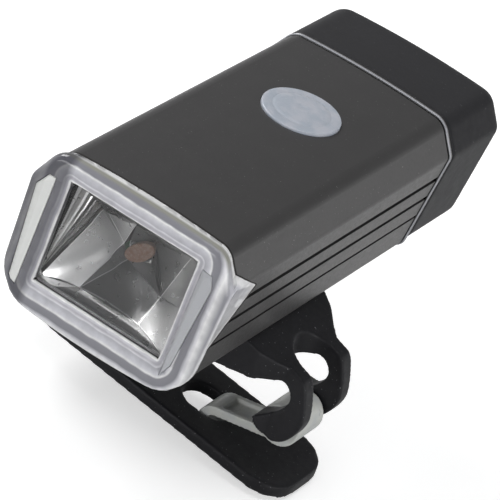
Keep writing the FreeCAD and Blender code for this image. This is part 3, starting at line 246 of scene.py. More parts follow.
def copied(name, node):
    mesh = NODES[node].data.copy()
    mesh.materials.clear()
    work = bmesh.new()
    work.from_mesh(mesh)
    bmesh.ops.remove_doubles(work, verts=work.verts, dist=1e-6)
    work.to_mesh(mesh)
    work.free()
    return link(name, mesh)


def lathe(name, profile, centre, steps=96):
    """A body turned about a vertical axis. The profile is (radius, height) from the middle outwards."""
    rings = []
    for radius, height in profile:
        radius = max(radius, 0.01)
        turns = [math.tau * k / steps for k in range(steps)]
        rings.append([(centre[0] + radius * math.cos(turn), centre[1] + radius * math.sin(turn),
                       centre[2] + height) for turn in turns])
    return piece(name, *skin(rings))


class Finish:
    """A material built up from a Principled shader and noise in the object's own coordinates."""

    def __init__(self, name, colour, rough, metal=0.0, **sockets):
        self.material = bpy.data.materials.new(name)
        self.material.use_nodes = True
        self.tree = self.material.node_tree
        self.shader = self.tree.nodes["Principled BSDF"]
        self.colour = colour
        self.shader.inputs["Base Color"].default_value = (*colour, 1)
        self.shader.inputs["Roughness"].default_value = rough
        self.shader.inputs["Metallic"].default_value = metal
        for socket, value in sockets.items():
            self.shader.inputs[socket.replace("_", " ")].default_value = value
        self.rough = rough
        self.height = None
        self.place = self.tree.nodes.new("ShaderNodeTexCoord").outputs["Object"]

    def join(self, output, node, socket):
        self.tree.links.new(output, node.inputs[socket])

    def noise(self, size, detail=2.0, stretch=(1, 1, 1)):
        """Noise whose features are about size millimetres across."""
        turned = self.tree.nodes.new("ShaderNodeMapping")
        turned.inputs["Scale"].default_value = stretch
        texture = self.tree.nodes.new("ShaderNodeTexNoise")
        texture.inputs["Scale"].default_value = 1 / (size * MM)
        texture.inputs["Detail"].default_value = detail
        self.join(self.place, turned, "Vector")
        self.join(turned.outputs["Vector"], texture, "Vector")
        return texture.outputs["Fac"]

    def ramp(self, source, low, high, bottom=0.0, top=1.0):
        node = self.tree.nodes.new("ShaderNodeMapRange")
        for socket, value in (("From Min", low), ("From Max", high), ("To Min", bottom), ("To Max", top)):
            node.inputs[socket].default_value = value
        self.join(source, node, "Value")
        return node.outputs["Result"]

    def maths(self, operation, first, second):
        """A sum on two values, each a number or another node's output."""
        node = self.tree.nodes.new("ShaderNodeMath")
        node.operation = operation
        for socket, value in enumerate((first, second)):
            if isinstance(value, float):
                node.inputs[socket].default_value = value
            else:
                self.join(value, node, socket)
        return node.outputs[0]

    def along(self, axis, start=0.0):
        """Millimetres from a start along an axis, by place."""
        apart = self.tree.nodes.new("ShaderNodeSeparateXYZ")
        self.join(self.place, apart, "Vector")
        return self.maths("SUBTRACT", self.maths("DIVIDE", apart.outputs[axis], MM), start)

    def behind_front(self):
        """Millimetres behind the leaning lens front."""
        lean = self.maths("MULTIPLY", self.along("Z", BELLY), LENS_LEAN)
        return self.maths("SUBTRACT", self.along("Y", FRONT - LENS_DEPTH), lean)

    def from_window(self):
        """Millimetres out from the lens window, below zero over it."""
        sideways = self.maths("ABSOLUTE", self.along("X"), 0.0)
        upright = self.maths("ABSOLUTE", self.along("Z", BELLY + WINDOW_MIDDLE), 0.0)
        side = self.maths("SUBTRACT", sideways, WINDOW_HALF_WIDTH)
        rise = self.maths("SUBTRACT", upright, WINDOW_HALF_HEIGHT)
        square = self.maths("ADD", self.maths("POWER", self.maths("MAXIMUM", side, 0.0), 2.0),
                            self.maths("POWER", self.maths("MAXIMUM", rise, 0.0), 2.0))
        inside = self.maths("MINIMUM", self.maths("MAXIMUM", side, rise), 0.0)
        return self.maths("ADD", self.maths("SQRT", square, 0.0), inside)

    def from_notch(self):
        """Millimetres out from the sleeve's notch for the lens wing."""
        off = []
        for start, end in zip(WING, WING[1:]):
            edge = (end - start).normalized()
            back = self.maths("MULTIPLY", self.along("Y", FRONT + start.x), edge.y)
            height = self.maths("MULTIPLY", self.along("Z", BELLY + start.y), -edge.x)
            off.append(self.maths("ADD", back, height))
        return self.maths("MAXIMUM", *off)

    def bands(self, source, reach, stops):
        """Colours along a length in millimetres, each stop a place and a grey or a colour."""
        node = self.tree.nodes.new("ShaderNodeValToRGB")
        ramp = node.color_ramp
        while len(ramp.elements) < len(stops):
            ramp.elements.new(1.0)
        for element, (place, colour) in zip(ramp.elements, stops):
            element.position, element.color = place / reach, (*colour, 1)
        self.join(self.ramp(source, 0, reach), node, "Fac")
        return node.outputs["Color"]

    def blend_colours(self, share, first, second):
        node = self.tree.nodes.new("ShaderNodeMix")
        node.data_type = "RGBA"
        for socket, value in (("A", first), ("B", second)):
            if isinstance(value, tuple):
                node.inputs[socket].default_value = (*value, 1)
            else:
                self.join(value, node, socket)
        self.join(share, node, "Factor")
        return node.outputs["Result"]

    def tint(self, share, colour):
        """Mix another colour in, by a share from 0 to 1."""
        base = self.shader.inputs["Base Color"]
        under = base.links[0].from_socket if base.links else self.colour
        self.join(self.blend_colours(share, under, colour), self.shader, "Base Color")
        return self

    def uneven(self, size, spread, **more):
        """Roughness that wanders about its own value."""
        low, high = self.rough - spread, self.rough + spread
        self.join(self.ramp(self.noise(size, **more), 0.3, 0.7, low, high), self.shader, "Roughness")
        return self

    def bump(self, source, depth, strength=1.0):
        """Relief of a depth in millimetres."""
        node = self.tree.nodes.new("ShaderNodeBump")
        node.inputs["Strength"].default_value = strength
        node.inputs["Distance"].default_value = depth * MM
        self.join(source, node, "Height")
        if self.height:
            self.join(self.height, node, "Normal")
        self.height = node.outputs["Normal"]
        self.join(self.height, self.shader, "Normal")
        return self

    def specks(self, size, share, colour):
        """Small stray dots: dust on a dark part."""
        return self.tint(self.ramp(self.noise(size, 1.0), 1 - share, 1 - share + 0.04), colour)


def anodised():
    shell = Finish("shell_anodised", (0.096, 0.094, 0.094), 0.36, 0.6, Specular_IOR_Level=0.5)
    shell.tint(shell.ramp(shell.noise(5.0), 0.35, 0.7, 0, 0.4), (0.107, 0.105, 0.104))
    shell.specks(0.28, 0.25, (0.3, 0.3, 0.29))
    shell.uneven(0.5, 0.05)
    return shell.bump(shell.noise(0.12, 3.0), 0.004)


# Pale and dark colours of the painted reflections in the lens.
WHITE, REFLECTED_DARK = (1.0, 1.0, 1.0), (0.3, 0.3, 0.33)
# Painted reflections of the lens, as colours each at a place in millimetres: round its front from the window
# outwards, and up its side wall from the belly. Then the lengths that the two rows of colours stand for.
FRONT_REFLECTION_STOPS = [(0.0, WHITE), (0.28, WHITE), (0.42, (0.6, 0.6, 0.65)), (0.8, (0.52, 0.51, 0.56)),
              (1.15, (0.9, 0.9, 0.94)), (1.35, (0.56, 0.56, 0.61)), (2.3, (0.76, 0.76, 0.81)), (2.7, WHITE),
              (2.95, REFLECTED_DARK), (4.0, (0.26, 0.26, 0.29)), (4.5, (0.8, 0.8, 0.84)), (5.0, WHITE), (6.2, REFLECTED_DARK)]
WALL_REFLECTION_STOPS = [(0.0, (0.5, 0.5, 0.52)), (2.0, WHITE), (16.5, (0.97, 0.97, 1.0)),
              (19.5, (0.62, 0.62, 0.68)), (22.5, (0.4, 0.4, 0.42)), (24.2, (0.36, 0.36, 0.31))]
BAND_REACH, WALL_REACH = 7.0, 26.0


def clear_lens():
    """Clear over the window. The rest is painted with its inner reflections, in bands that follow its edge,
    with a painted highlight near the wing and painted shade down its left side.
    """
    plain = (0.97, 0.97, 0.98)
    pane = Finish("lens_clear", plain, 0.03, Transmission_Weight=1.0, IOR=1.46)
    out = pane.from_window()
    # Painted reflection bands round the front, out from the window, a little wavering.
    waver = pane.ramp(pane.noise(2.5, 1.0), 0.3, 0.7, -0.07, 0.07)
    front = pane.bands(pane.maths("ADD", out, waver), BAND_REACH, FRONT_REFLECTION_STOPS)
    # Painted reflection bands up the side wall from the belly.
    waver = pane.ramp(pane.noise(1.5), 0.3, 0.7, -0.5, 0.5)
    wall = pane.bands(pane.maths("ADD", pane.along("Z", BELLY), waver), WALL_REACH, WALL_REFLECTION_STOPS)
    # Painted highlight: the side wall turns white near the wing notch and the rear edge.
    rear_edge = pane.maths("MINIMUM", pane.from_notch(), pane.along("Y", FRONT))
    wall = pane.blend_colours(pane.ramp(rear_edge, -1.5, -0.9, 0, 0.9), wall, WHITE)
    rim = pane.blend_colours(pane.ramp(pane.behind_front(), 0.5, 1.0), front, wall)
    # Noise clouds of painted dark reflection over the rim.
    reflection_cloud = pane.ramp(pane.noise(1.6, 3.0), 0.35, 0.7, 0, 0.3)
    rim = pane.blend_colours(reflection_cloud, rim, REFLECTED_DARK)
    # Painted shade: the rim darkens down its left side.
    left_painted_shade = pane.ramp(pane.along("X"), -11.6, -12.9, 0, 0.76)
    rim = pane.blend_colours(left_painted_shade, rim, (0.07, 0.07, 0.085))
    clear = pane.ramp(out, -0.05, 0.1, 1, 0)
    pane.join(pane.blend_colours(clear, rim, plain), pane.shader, "Base Color")
    pane.join(pane.ramp(clear, 0, 1, 0.12, 1.0), pane.shader, "Transmission Weight")
    return pane.bump(pane.noise(6.0), 0.02)


def side_strip():
    """Whitish on the left. The right one is meant to read as clearer: it is painted grey for the dark seen
    through it, as painted shade.
    """
    strip = Finish("guide_milky", (0.86, 0.87, 0.85), 0.3, Transmission_Weight=0.15, IOR=1.49)
    strip.tint(strip.ramp(strip.noise(1.2), 0.4, 0.7, 0, 0.4), (0.92, 0.93, 0.9))
    # Painted shade: the right strip is painted grey for the dark interior seen through it.
    strip.tint(strip.ramp(strip.along("X"), -1, 1, 0, 0.75), (0.4, 0.41, 0.45))
    return strip.bump(strip.noise(0.5, 3.0), 0.01)


def seal_rubber():
    rubber = Finish("seal_rubber", (0.012, 0.01, 0.009), 0.6)
    rubber.uneven(0.6, 0.08)
    return rubber.bump(rubber.noise(0.3), 0.02)


def chrome():
    """Chrome whose facets show pale and dark parts of the room as a painted reflection, a grey set on each
    point of the mesh.
    """
    mirror = Finish("reflector_chrome", (0.62, 0.62, 0.62), 0.3, 1.0)
    # The painted reflection grey, read from the mesh, is the base colour.
    painted_reflection = mirror.tree.nodes.new("ShaderNodeAttribute")
    painted_reflection.attribute_name = "painted_reflection"
    mirror.join(painted_reflection.outputs["Color"], mirror.shader, "Base Color")
    mirror.uneven(1.4, 0.04)
    mirror.bump(mirror.noise(3.0, 1.0), 0.05, 0.4)
    return mirror


def circuit():
    board = Finish("board_mask", (0.03, 0.16, 0.07), 0.35, Coat_Weight=0.4)
    board.tint(board.ramp(board.noise(1.2, 0.0, (1, 6, 1)), 0.5, 0.52, 0, 0.6), (0.05, 0.24, 0.1))
    return board.bump(board.noise(0.7), 0.02)


def emitter():
    chip = Finish("led_phosphor", (0.3, 0.2, 0.145), 0.55)
    chip.tint(chip.ramp(chip.noise(0.4, 3.0), 0.42, 0.6), (0.24, 0.12, 0.075))
    chip.tint(chip.ramp(chip.noise(0.25), 0.6, 0.7, 0, 0.5), (0.62, 0.44, 0.33))
    return chip.bump(chip.noise(0.3, 3.0), 0.08)


def cast_sink():
    sink = Finish("sink_aluminium", (0.55, 0.56, 0.57), 0.42, 1.0)
    sink.uneven(0.4, 0.1, stretch=(1, 1, 8))
    return sink.bump(sink.noise(0.2), 0.01)


def steel():
    metal = Finish("screw_steel", (0.58, 0.57, 0.55), 0.3, 1.0)
    metal.uneven(0.6, 0.08)
    return metal.bump(metal.noise(0.15, 2.0, (1, 6, 1)), 0.006)


def wire_jacket():
    wire = Finish("wire_jacket", (0.45, 0.03, 0.03), 0.45)
    wire.uneven(0.8, 0.06)
    return wire.bump(wire.noise(0.5), 0.01)


def moulded_plastic(name, colour, rough, grain=0.25):
    plastic = Finish(name, colour, rough)
    paler = tuple(1.5 * channel + 0.01 for channel in colour)
    plastic.tint(plastic.ramp(plastic.noise(4.0), 0.3, 0.7, 0, 0.35), paler)
    plastic.uneven(1.0, 0.05)
    return plastic.bump(plastic.noise(grain, 3.0), 0.012)


def cell_wrap():
    wrap = Finish("cell_wrap", (0.2, 0.23, 0.27), 0.35, 0.4)
    wrap.uneven(2.0, 0.1)
    return wrap.bump(wrap.noise(3.0), 0.08)


def foam():
    pad = Finish("pad_foam", (0.06, 0.06, 0.065), 0.95)
    pad.tint(pad.ramp(pad.noise(0.4), 0.45, 0.6), (0.02, 0.02, 0.02))
    return pad.bump(pad.noise(0.35), 0.12)


def nickel():
    strip = Finish("tab_nickel", (0.66, 0.63, 0.57), 0.28, 1.0)
    strip.uneven(0.6, 0.1)
    return strip.bump(strip.noise(0.3), 0.01)


def brass():
    metal = Finish("insert_brass", (0.68, 0.5, 0.22), 0.3, 1.0)
    metal.uneven(0.5, 0.08)
    return metal.bump(metal.noise(0.2, 2.0, (6, 1, 1)), 0.008)


def rubber_cap():
    rubber = Finish("cap_soft_touch", (0.0072, 0.007, 0.0092), 0.6, Sheen_Weight=0.08, Sheen_Roughness=0.5,
                    Specular_IOR_Level=0.36)
    rubber.tint(rubber.ramp(rubber.noise(7.0), 0.35, 0.7, 0, 0.5), (0.0105, 0.0103, 0.0135))
    rubber.specks(0.3, 0.24, (0.14, 0.14, 0.15))
    rubber.uneven(1.5, 0.04)
    return rubber.bump(rubber.noise(0.16, 3.0), 0.01)


def gloss_lip():
    """Dark plastic. The bead between sleeve and cap carries a pale painted highlight on its front half."""
    black, reach = (0.004, 0.004, 0.004), 2.0
    lip = Finish("lip_gloss", (0.02, 0.02, 0.022), 0.24)
    # Painted highlight: a pale band across the bead's front half, black before and after it.
    stops = [(0.0, black), (0.34, (0.006, 0.006, 0.006)), (0.46, (0.4, 0.41, 0.44)),
             (0.64, (0.3, 0.3, 0.32)), (0.8, (0.1, 0.095, 0.09)), (1.15, (0.07, 0.066, 0.062)), (1.3, black)]
    lip.join(lip.bands(lip.along("Y", REAR), reach, stops), lip.shader, "Base Color")
    lip.uneven(1.5, 0.04)
    return lip.bump(lip.noise(1.5), 0.01)


def silicone():
    rubber = Finish("strap_silicone", (0.0046, 0.0045, 0.0064), 0.54, Sheen_Weight=0.1, Sheen_Roughness=0.45,
                    Specular_IOR_Level=0.3)
    rubber.tint(rubber.ramp(rubber.noise(6.0), 0.4, 0.7, 0, 0.5), (0.008, 0.0078, 0.0108))
    rubber.specks(0.34, 0.262, (0.2, 0.2, 0.21))
    rubber.uneven(1.2, 0.07)
    return rubber.bump(rubber.noise(0.25, 3.0), 0.015)


def button_silicone():
    gel = Finish("button_silicone", (0.4, 0.44, 0.5), 0.34, Subsurface_Weight=0.3, Subsurface_Scale=0.001)
    gel.shader.inputs["Subsurface Radius"].default_value = (1, 1, 1)
    gel.tint(gel.ramp(gel.noise(2.4, 2.0, (1, 1, 3)), 0.4, 0.65, 0, 0.7), (0.51, 0.52, 0.57))
    gel.tint(gel.ramp(gel.noise(0.5, 3.0, (1, 5, 1)), 0.55, 0.7, 0, 0.35), (0.62, 0.64, 0.68))
    gel.uneven(0.8, 0.06)
    return gel.bump(gel.noise(0.3, 3.0), 0.02)


def clip_nylon():
    nylon = Finish("clip_nylon", (0.56, 0.57, 0.54), 0.34, Subsurface_Weight=0.25, Subsurface_Scale=0.0006)
    nylon.shader.inputs["Subsurface Radius"].default_value = (1, 1, 1)
    nylon.tint(nylon.ramp(nylon.noise(3.0), 0.4, 0.65, 0, 0.6), (0.47, 0.49, 0.5))
    nylon.uneven(0.8, 0.08)
    return nylon.bump(nylon.noise(0.5, 3.0), 0.02)


FINISHES = {
    "shell": anodised(),
    "lens": clear_lens(),
    "light_guide": side_strip(),
    "seal": seal_rubber(),
    "reflector": chrome(),
    "circuit_board": circuit(),
    "led": emitter(),
    "heat_sink": cast_sink(),
    "steel": steel(),
    "wire": wire_jacket(),
    "inner_plastic": moulded_plastic("tray_plastic", (0.03, 0.03, 0.032), 0.5),
    "cell": cell_wrap(),
    "foam": foam(),
    "nickel": nickel(),
    "component": moulded_plastic("chip_resin", (0.015, 0.015, 0.016), 0.4, 0.15),
    "port": steel(),
    "button": button_silicone(),
    "rear_plastic": gloss_lip(),
    "cap": rubber_cap(),
    "swivel": moulded_plastic("swivel_plastic", (0.02, 0.02, 0.021), 0.45),
    "brass": brass(),
    "silicone": silicone(),
    "clip": clip_nylon(),
}


def dress(obj, slot):
    obj.data.materials.clear()
    obj.data.materials.append(FINISHES[slot].material)
    return obj


def stand_for(obj, slot, body, *nodes):
    dress(obj, slot)
    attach(obj, body)
    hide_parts(*nodes)
    return obj


def dress_frame():
    for part in frame["record"]["subparts"]:
        mesh = NODES[part["node"]].data
        mesh.materials.clear()
        mesh.materials.append(FINISHES[part["material_slot"]].material)


def box_mesh(name, low, high):
    xs, ys, zs = zip(low, high)
    return hull(name, [(x, y, z) for x in xs for y in ys for z in zs])


GUIDE_DEPTH = 3.0


def guide_corners(side, grown):
    """A side strip on the lens front. The left one is broad, the right one a slim prism."""
    broad = [(15.7 + grown, 2.9 - grown), (16.9 + grown, 18.4 + grown), (15.4, 20.8 + grown),
             (14.2 - grown, 20.8 + grown), (14.3 - grown, 2.0 - grown)]
    slim = [(14.1 + grown, 4.5), (15.6 + grown, 18.7), (14.9, 20.7 + grown), (13.1 - grown, 20.8 + grown),
            (13.0 - grown, 2.1 - grown)]
    return [Vector((side * x, z)) for x, z in (slim if side > 0 else broad)]


def make_lens():
    """A clear cover: round rim, sloping face round the window, thin pane, and the wings of the CAD part."""
    rim, shoulder, steps, sharp = 1.1, 1.7, 8, 30
    rings = [on_section(rounded(SLEEVE), 0.0), on_front(rounded(LENS), shoulder)]
    for step in range(steps + 1):
        turn = math.radians(90 * step / steps)
        rings.append(on_front(rounded(LENS, rim * (1 - math.cos(turn))), rim * (1 - math.sin(turn))))
    face, window = rounded(LENS, rim), rounded(WINDOW)
    for share, depth in ((0.1, -0.04), (0.25, 0.0), (0.5, 0.12), (0.75, 0.3), (0.92, 0.42), (0.97, 0.5)):
        rings.append(on_front(between(face, window, share), depth))
    for inset, depth in ((0.0, 0.62), (0.12, 0.95), (0.3, 1.0)):
        rings.append(on_front(rounded(WINDOW, inset), depth))
    lens = piece("front_lens_clear", *skin(rings), sharp)
    low, high = in_mm("front_lens")
    rear, overlap, past = copied("lens_rear", "front_lens"), 0.02, 1
    ahead = (high.x + past, FRONT - overlap, high.z + past)
    carved(rear, box_mesh("ahead", (low.x - past, low.y - past, low.z - past), ahead))
    carved(lens, rear, "UNION", sharp)
    pane_back, deep, outline = 2.1, 4.0, rounded(WINDOW, -0.9)
    cavity = piece("cavity", *skin([on_front(outline, pane_back), on_section(outline, deep)]))
    carved(lens, cavity, sharp=sharp)
    for side in (1, -1):
        corners = guide_corners(side, 0.1)
        pocket = hull("pocket", on_front(corners, -1.0) + on_front(corners, GUIDE_DEPTH + 0.1))
        carved(lens, pocket, sharp=sharp)
    stand_for(lens, "lens", "lamp", "front_lens")


def make_guides():
    """The side strips, each with a low ridge along its face."""
    for side, label, share, proud in ((1, "right", 0.7, 0.4), (-1, "left", 0.45, 0.2)):
        corners = guide_corners(side, 0.0)
        ridge = [corners[0].lerp(corners[4], share), corners[1].lerp(corners[3], share)]
        points = on_front(corners, 0.1) + on_front(ridge, -proud) + on_front(corners, GUIDE_DEPTH)
        strip = hull(f"light_guide_{label}_strip", points, sharp=8)
        edged(strip, width=0.12, steps=2, angle=20, sharp=12)
        stand_for(strip, "light_guide", "lamp", f"light_guide_{label}")


# Points of the bowl: sideways and up from the belly, and how deep behind the lens front.
BOWL = {"rib_foot": (-11.9, 5.4, 2.2), "cell_foot": (-11.5, 4.4, 2.3), "foot": (-8.8, 4.0, 2.2),
        "floor_left": (-5.3, 5.5, 3.2), "floor_right": (5.9, 5.6, 3.2), "left_of_lamp": (-3.0, 13.6, 8.0),
        "cell_top": (-6.6, 17.3, 6.6), "rib_top": (-7.6, 17.6, 6.2), "top_left": (-4.3, 17.8, 7.2),
        "top": (-2.0, 17.8, 7.6), "below_lamp": (-1.4, 11.4, 8.0), "under": (1.2, 10.2, 6.9),
        "right_crease": (7.3, 10.8, 4.5), "right_top": (9.6, 19.4, 4.4),
        "above_lamp": (1.8, 16.4, 8.1), "right_of_lamp": (2.6, 12.9, 8.0), "top_right": (5.3, 18.8, 6.5),
        "edge_top": (11.9, 21.4, 2.2), "edge_mid": (11.9, 12.4, 2.2), "edge_low": (11.9, 4.0, 2.2),
        "edge_left": (-11.9, 4.0, 2.2), "corner": (-11.9, 21.4, 2.2), "back_left": (-2.4, 14.4, 8.4),
        "back_right": (2.4, 14.4, 8.4)}
# Facets by their corners, each corner's painted reflection grey, how far they bulge, and which sides catch
# the light, which are painted white as highlight lines.
# Side 1 joins the first two corners, side 2 the next two, and so round.
FACETS = [("cell_foot", "floor_left", "left_of_lamp", "rib_top", (1.0, 1.0, 0.4, 0.16), 0.5, (1, 2, 4)),
          ("cell_foot", "foot", "floor_left", "floor_left", (0.9, 0.6, 0.3, 0.3), 0.0, (1,)),
          ("left_of_lamp", "top", "top_left", "cell_top", (0.3, 0.45, 0.3, 0.15), 0.3, (1, 4)),
          ("rib_top", "left_of_lamp", "cell_top", "cell_top", (0.12, 0.2, 0.1, 0.1), 0.0, (2,)),
          ("floor_left", "floor_right", "right_crease", "below_lamp", (0.15, 0.17, 0.24, 0.14), 0.6,
           (1, 2, 4)),
          ("floor_left", "below_lamp", "left_of_lamp", "left_of_lamp", (0.16, 0.12, 0.12, 0.12), 0.0, (1,)),
          ("below_lamp", "under", "right_crease", "right_of_lamp", (0.3, 0.2, 0.25, 0.16), 0.2, (1, 2)),
          ("right_of_lamp", "right_crease", "right_top", "above_lamp", (0.15, 0.22, 0.3, 0.12), 0.3, (2, 4)),
          ("above_lamp", "right_top", "top_right", "top", (0.16, 0.2, 0.1, 0.12), 0.0, (1,)),
          ("left_of_lamp", "back_left", "top", "top", (0.1, 0.06, 0.1, 0.1), 0.0, ()),
          ("back_left", "back_right", "above_lamp", "top", (0.05, 0.05, 0.08, 0.08), 0.0, ()),
          ("below_lamp", "right_of_lamp", "back_right", "back_left", (0.1, 0.1, 0.05, 0.05), 0.0, ()),
          ("right_of_lamp", "right_crease", "above_lamp", "back_right", (0.12, 0.14, 0.1, 0.05), 0.0, ()),
          ("right_crease", "edge_mid", "edge_top", "right_top", (0.5, 0.25, 0.2, 0.4), 0.2, (4,)),
          ("floor_right", "edge_low", "edge_mid", "right_crease", (0.3, 0.85, 0.4, 0.25), 0.3, (1, 4)),
          ("foot", "edge_low", "floor_right", "floor_left", (0.25, 0.35, 0.2, 0.12), 0.3, (1, 3)),
          ("edge_left", "foot", "cell_foot", "rib_foot", (0.5, 0.6, 0.8, 0.7), 0.0, (1, 3)),
          ("top", "top_right", "right_top", "edge_top", (0.1, 0.1, 0.2, 0.2), 0.0, ()),
          ("top_left", "top", "edge_top", "corner", (0.1, 0.1, 0.2, 0.2), 0.0, ()),
          ("rib_top", "top_left", "corner", "corner", (0.08, 0.08, 0.1, 0.1), 0.0, ())]


def make_reflector():
    """A bowl of chromed facets round the lamp, with a fan of ribs down its left wall. Their greys are
    painted reflections, with painted highlight lines along the lit sides.
    """
    spots = {name: Vector(spot) for name, spot in BOWL.items()}
    verts, faces, painted_reflections = [], [], []

    def put(spot, painted_reflection):
        verts.append((spot.x, FRONT - LENS_DEPTH + LENS_LEAN * spot.y + spot.z, BELLY + spot.y))
        painted_reflections.append(painted_reflection)

    margin = 0.025
    stops = [0, margin] + [step / 10 for step in range(1, 10)] + [1 - margin, 1]
    count = len(stops)
    for *names, painted_reflection, bow, lit in FACETS:
        a, b, c, d = (spots[name] for name in names)
        first = len(verts)
        for v in stops:
            for u in stops:
                spot = a.lerp(b, u).lerp(d.lerp(c, u), v)
                spot.z += bow * math.sin(math.pi * u) * math.sin(math.pi * v)
                spot.y += 0.6 * bow * math.sin(math.pi * u) * (1 - v) ** 3
                # A point on a lit side gets a painted highlight of full white; the others a painted
                # reflection grey blended from the corners.
                edge = {1: v == 0, 2: u == 1, 3: v == 1, 4: u == 0}
                shade = (painted_reflection[0] * (1 - u) + painted_reflection[1] * u) * (1 - v) + (painted_reflection[3] * (1 - u) + painted_reflection[2] * u) * v
                put(spot, 1.0 if any(edge[side] for side in lit) else shade)
        for row in range(count - 1):
            start = first + row * count
            faces += [(k, k + 1, k + 1 + count, k + count) for k in range(start, start + count - 1)]
    fan = [spots["corner"], Vector((-9.8, 20.6, 4.2)), Vector((-8.6, 19.6, 5.2)), spots["rib_top"]]
    legs, fold = len(fan) - 1, 0.35
    # Painted reflection greys of the ribs, one after another.
    rib_reflection_greys = (0.05, 0.5, 0.85, 1.0, 0.7, 1.0, 0.25, 0.12, 0.8, 0.08, 0.25)
    for k, shade in enumerate(rib_reflection_greys):
        ends = []
        for share in (k / len(rib_reflection_greys), (k + 1) / len(rib_reflection_greys)):
            leg = min(int(share * legs), legs - 1)
            ends.append(fan[leg].lerp(fan[leg + 1], share * legs - leg))
        ends[k % 2].z -= fold
        first = len(verts)
        for spot, part in ((spots["rib_foot"], 0.8), (ends[1], 1.0), (ends[0], 0.6)):
            put(spot, shade * part)
        faces.append((first, first + 1, first + 2))
    wall, sharp = 0.3, 14
    bowl = piece("reflector_bowl", verts, faces, sharp)
    painted_reflection = bowl.data.color_attributes.new(name="painted_reflection", type="FLOAT_COLOR", domain="POINT")
    for spot, shade in zip(painted_reflection.data, painted_reflections):
        spot.color = (shade, shade, shade * 0.98, 1)
    thick = bowl.modifiers.new("Wall", "SOLIDIFY")
    thick.thickness, thick.offset = wall * MM, 0
    applied(bowl, sharp)
    stand_for(bowl, "reflector", "lamp", "reflector")


def make_led():
    """The emitter: a flat speckled disc on a small square base."""
    low, high = in_mm("led_emitter")
    middle = (low + high) / 2
    half, thick, steps = 1.2, 0.5, 48
    base = box_mesh("led_emitter_base", (middle.x - half, high.y - thick, middle.z - half),
                    (middle.x + half, high.y, middle.z + half))
    disc = []
    centre, long, short = middle + Vector((0.3, 0, 1.2)), Vector((1.6, 0, 2.2)), Vector((1.75, 0, -0.3))
    for grown, y in ((1.0, high.y - thick + 0.05), (1.0, low.y + 0.1), (0.95, low.y)):
        for turn in (math.tau * k / steps for k in range(steps)):
            spot = centre + grown * (long * math.cos(turn) + short * math.sin(turn))
            disc.append((spot.x, y, spot.z))
    led = carved(base, hull("disc", disc), "UNION")
    led.name = "led_emitter_disc"
    stand_for(led, "led", "lamp", "led_emitter")


def make_seam():
    """A dark rubber strip that shows as a dark line between lens and sleeve, round the wings too: it stands
    for the shade in that gap, as painted shade.
    """
    foot, tip, top = WING
    arc, side, lap = 8, 40, 0.05

    def back(height):
        low = (height - foot.y) / (tip.y - foot.y)
        high = (top.y - height) / (top.y - tip.y)
        return tip.x * max(0, min(low, high)) - lap

    rings = []
    for inset, behind in ((0.5, 0.0), (-0.06, 0.05), (-0.1, 0.25), (-0.06, 0.45), (0.5, 0.5)):
        outline = zip(rounded(SLEEVE, 0.0, arc, side), rounded(SLEEVE, inset, arc, side))
        rings.append([(p.x, FRONT + back(seat.y) + behind, BELLY + p.y) for seat, p in outline])
    lip = piece("shadow_gap_strip", *skin(rings, around=True), 60)
    dress(lip, "seal")
    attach(lip, "lamp")


def make_lip_bead():
    """The half-round bead of the rear frame that shows between the sleeve and the cap."""
    inset, radius, inner = 0.2, 0.5, 0.9
    middle = REAR - FRONT + 0.78
    rings = []
    for turn in (math.radians(step) for step in range(-90, 91, 15)):
        outline = rounded(SLEEVE, inset - radius * math.cos(turn))
        rings.append(on_section(outline, middle + radius * math.sin(turn)))
    rings += [on_section(rounded(SLEEVE, inner), middle + edge) for edge in (radius, -radius)]
    bead = piece("rear_frame_bead", *skin(rings, around=True), 60)
    dress(bead, "rear_plastic")
    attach(bead, "lamp")


def make_button():
    """A domed pad with a rolled rim, a fine ring and a dimple in the middle."""
    low, high = in_mm("power_button")
    centre = ((low.x + high.x) / 2, (low.y + high.y) / 2, high.z)
    radius, rim, ring, dimple = 6.65, 0.3, 4.9, 1.0

    def dome(r):
        return -0.05 - 0.5 * (r / radius) ** 2

    profile = [(0, -0.16), (dimple * 0.6, -0.13), (dimple, dome(dimple) - 0.02)]
    profile += [(r, dome(r)) for r in (1.3, 2.0, 3.0, 4.0, ring - 0.25)]
    profile += [(ring - 0.1, dome(ring) - 0.07), (ring + 0.1, dome(ring) - 0.07)]
    profile.append((ring + 0.25, dome(ring + 0.25)))
    profile += [(radius - rim + rim * math.sin(turn), dome(radius - rim) - rim + rim * math.cos(turn))
                for turn in (math.radians(step) for step in range(0, 91, 15))]
    bottom, stem = low.z - high.z, 3.0
    flange, flange_top, flange_bottom, corner = 8.2, -2.5, -3.3, 0.1
    profile += [(radius, flange_top), (flange - corner, flange_top), (flange, flange_top - corner),
                (flange, flange_bottom), (stem, flange_bottom), (stem, bottom), (0, bottom)]
    pad = lathe("power_button_pad", profile, centre)
    stand_for(pad, "button", "button", "power_button")


def make_bracket():
    saddle = moulded("saddle_soft", "saddle_bracket", voxel=0.26, passes=6)
    stand_for(saddle, "silicone", "bracket", "saddle_bracket")
    strap = moulded("strap_soft", "strap", voxel=0.3, passes=5)
    dress(strap, "silicone")
    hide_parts("strap")
    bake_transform(strap)
    clip = moulded("hook_clip_soft", "hook_clip", voxel=0.2, passes=5)
    stand_for(clip, "clip", "clip", "hook_clip")


def make_cap():
    """The soft cap, a little fuller about its middle than worn round."""
    cap = moulded("rear_cap_soft", "rear_cap", voxel=0.35, passes=4)
    wider, higher = 1.018, 1.008
    middle = Matrix.Translation((0, 0, (BELLY + 12.5) * MM))
    cap.data.transform(middle @ Matrix.Diagonal((wider, 1, higher, 1)) @ middle.inverted())
    stand_for(cap, "cap", "cap", "rear_cap")


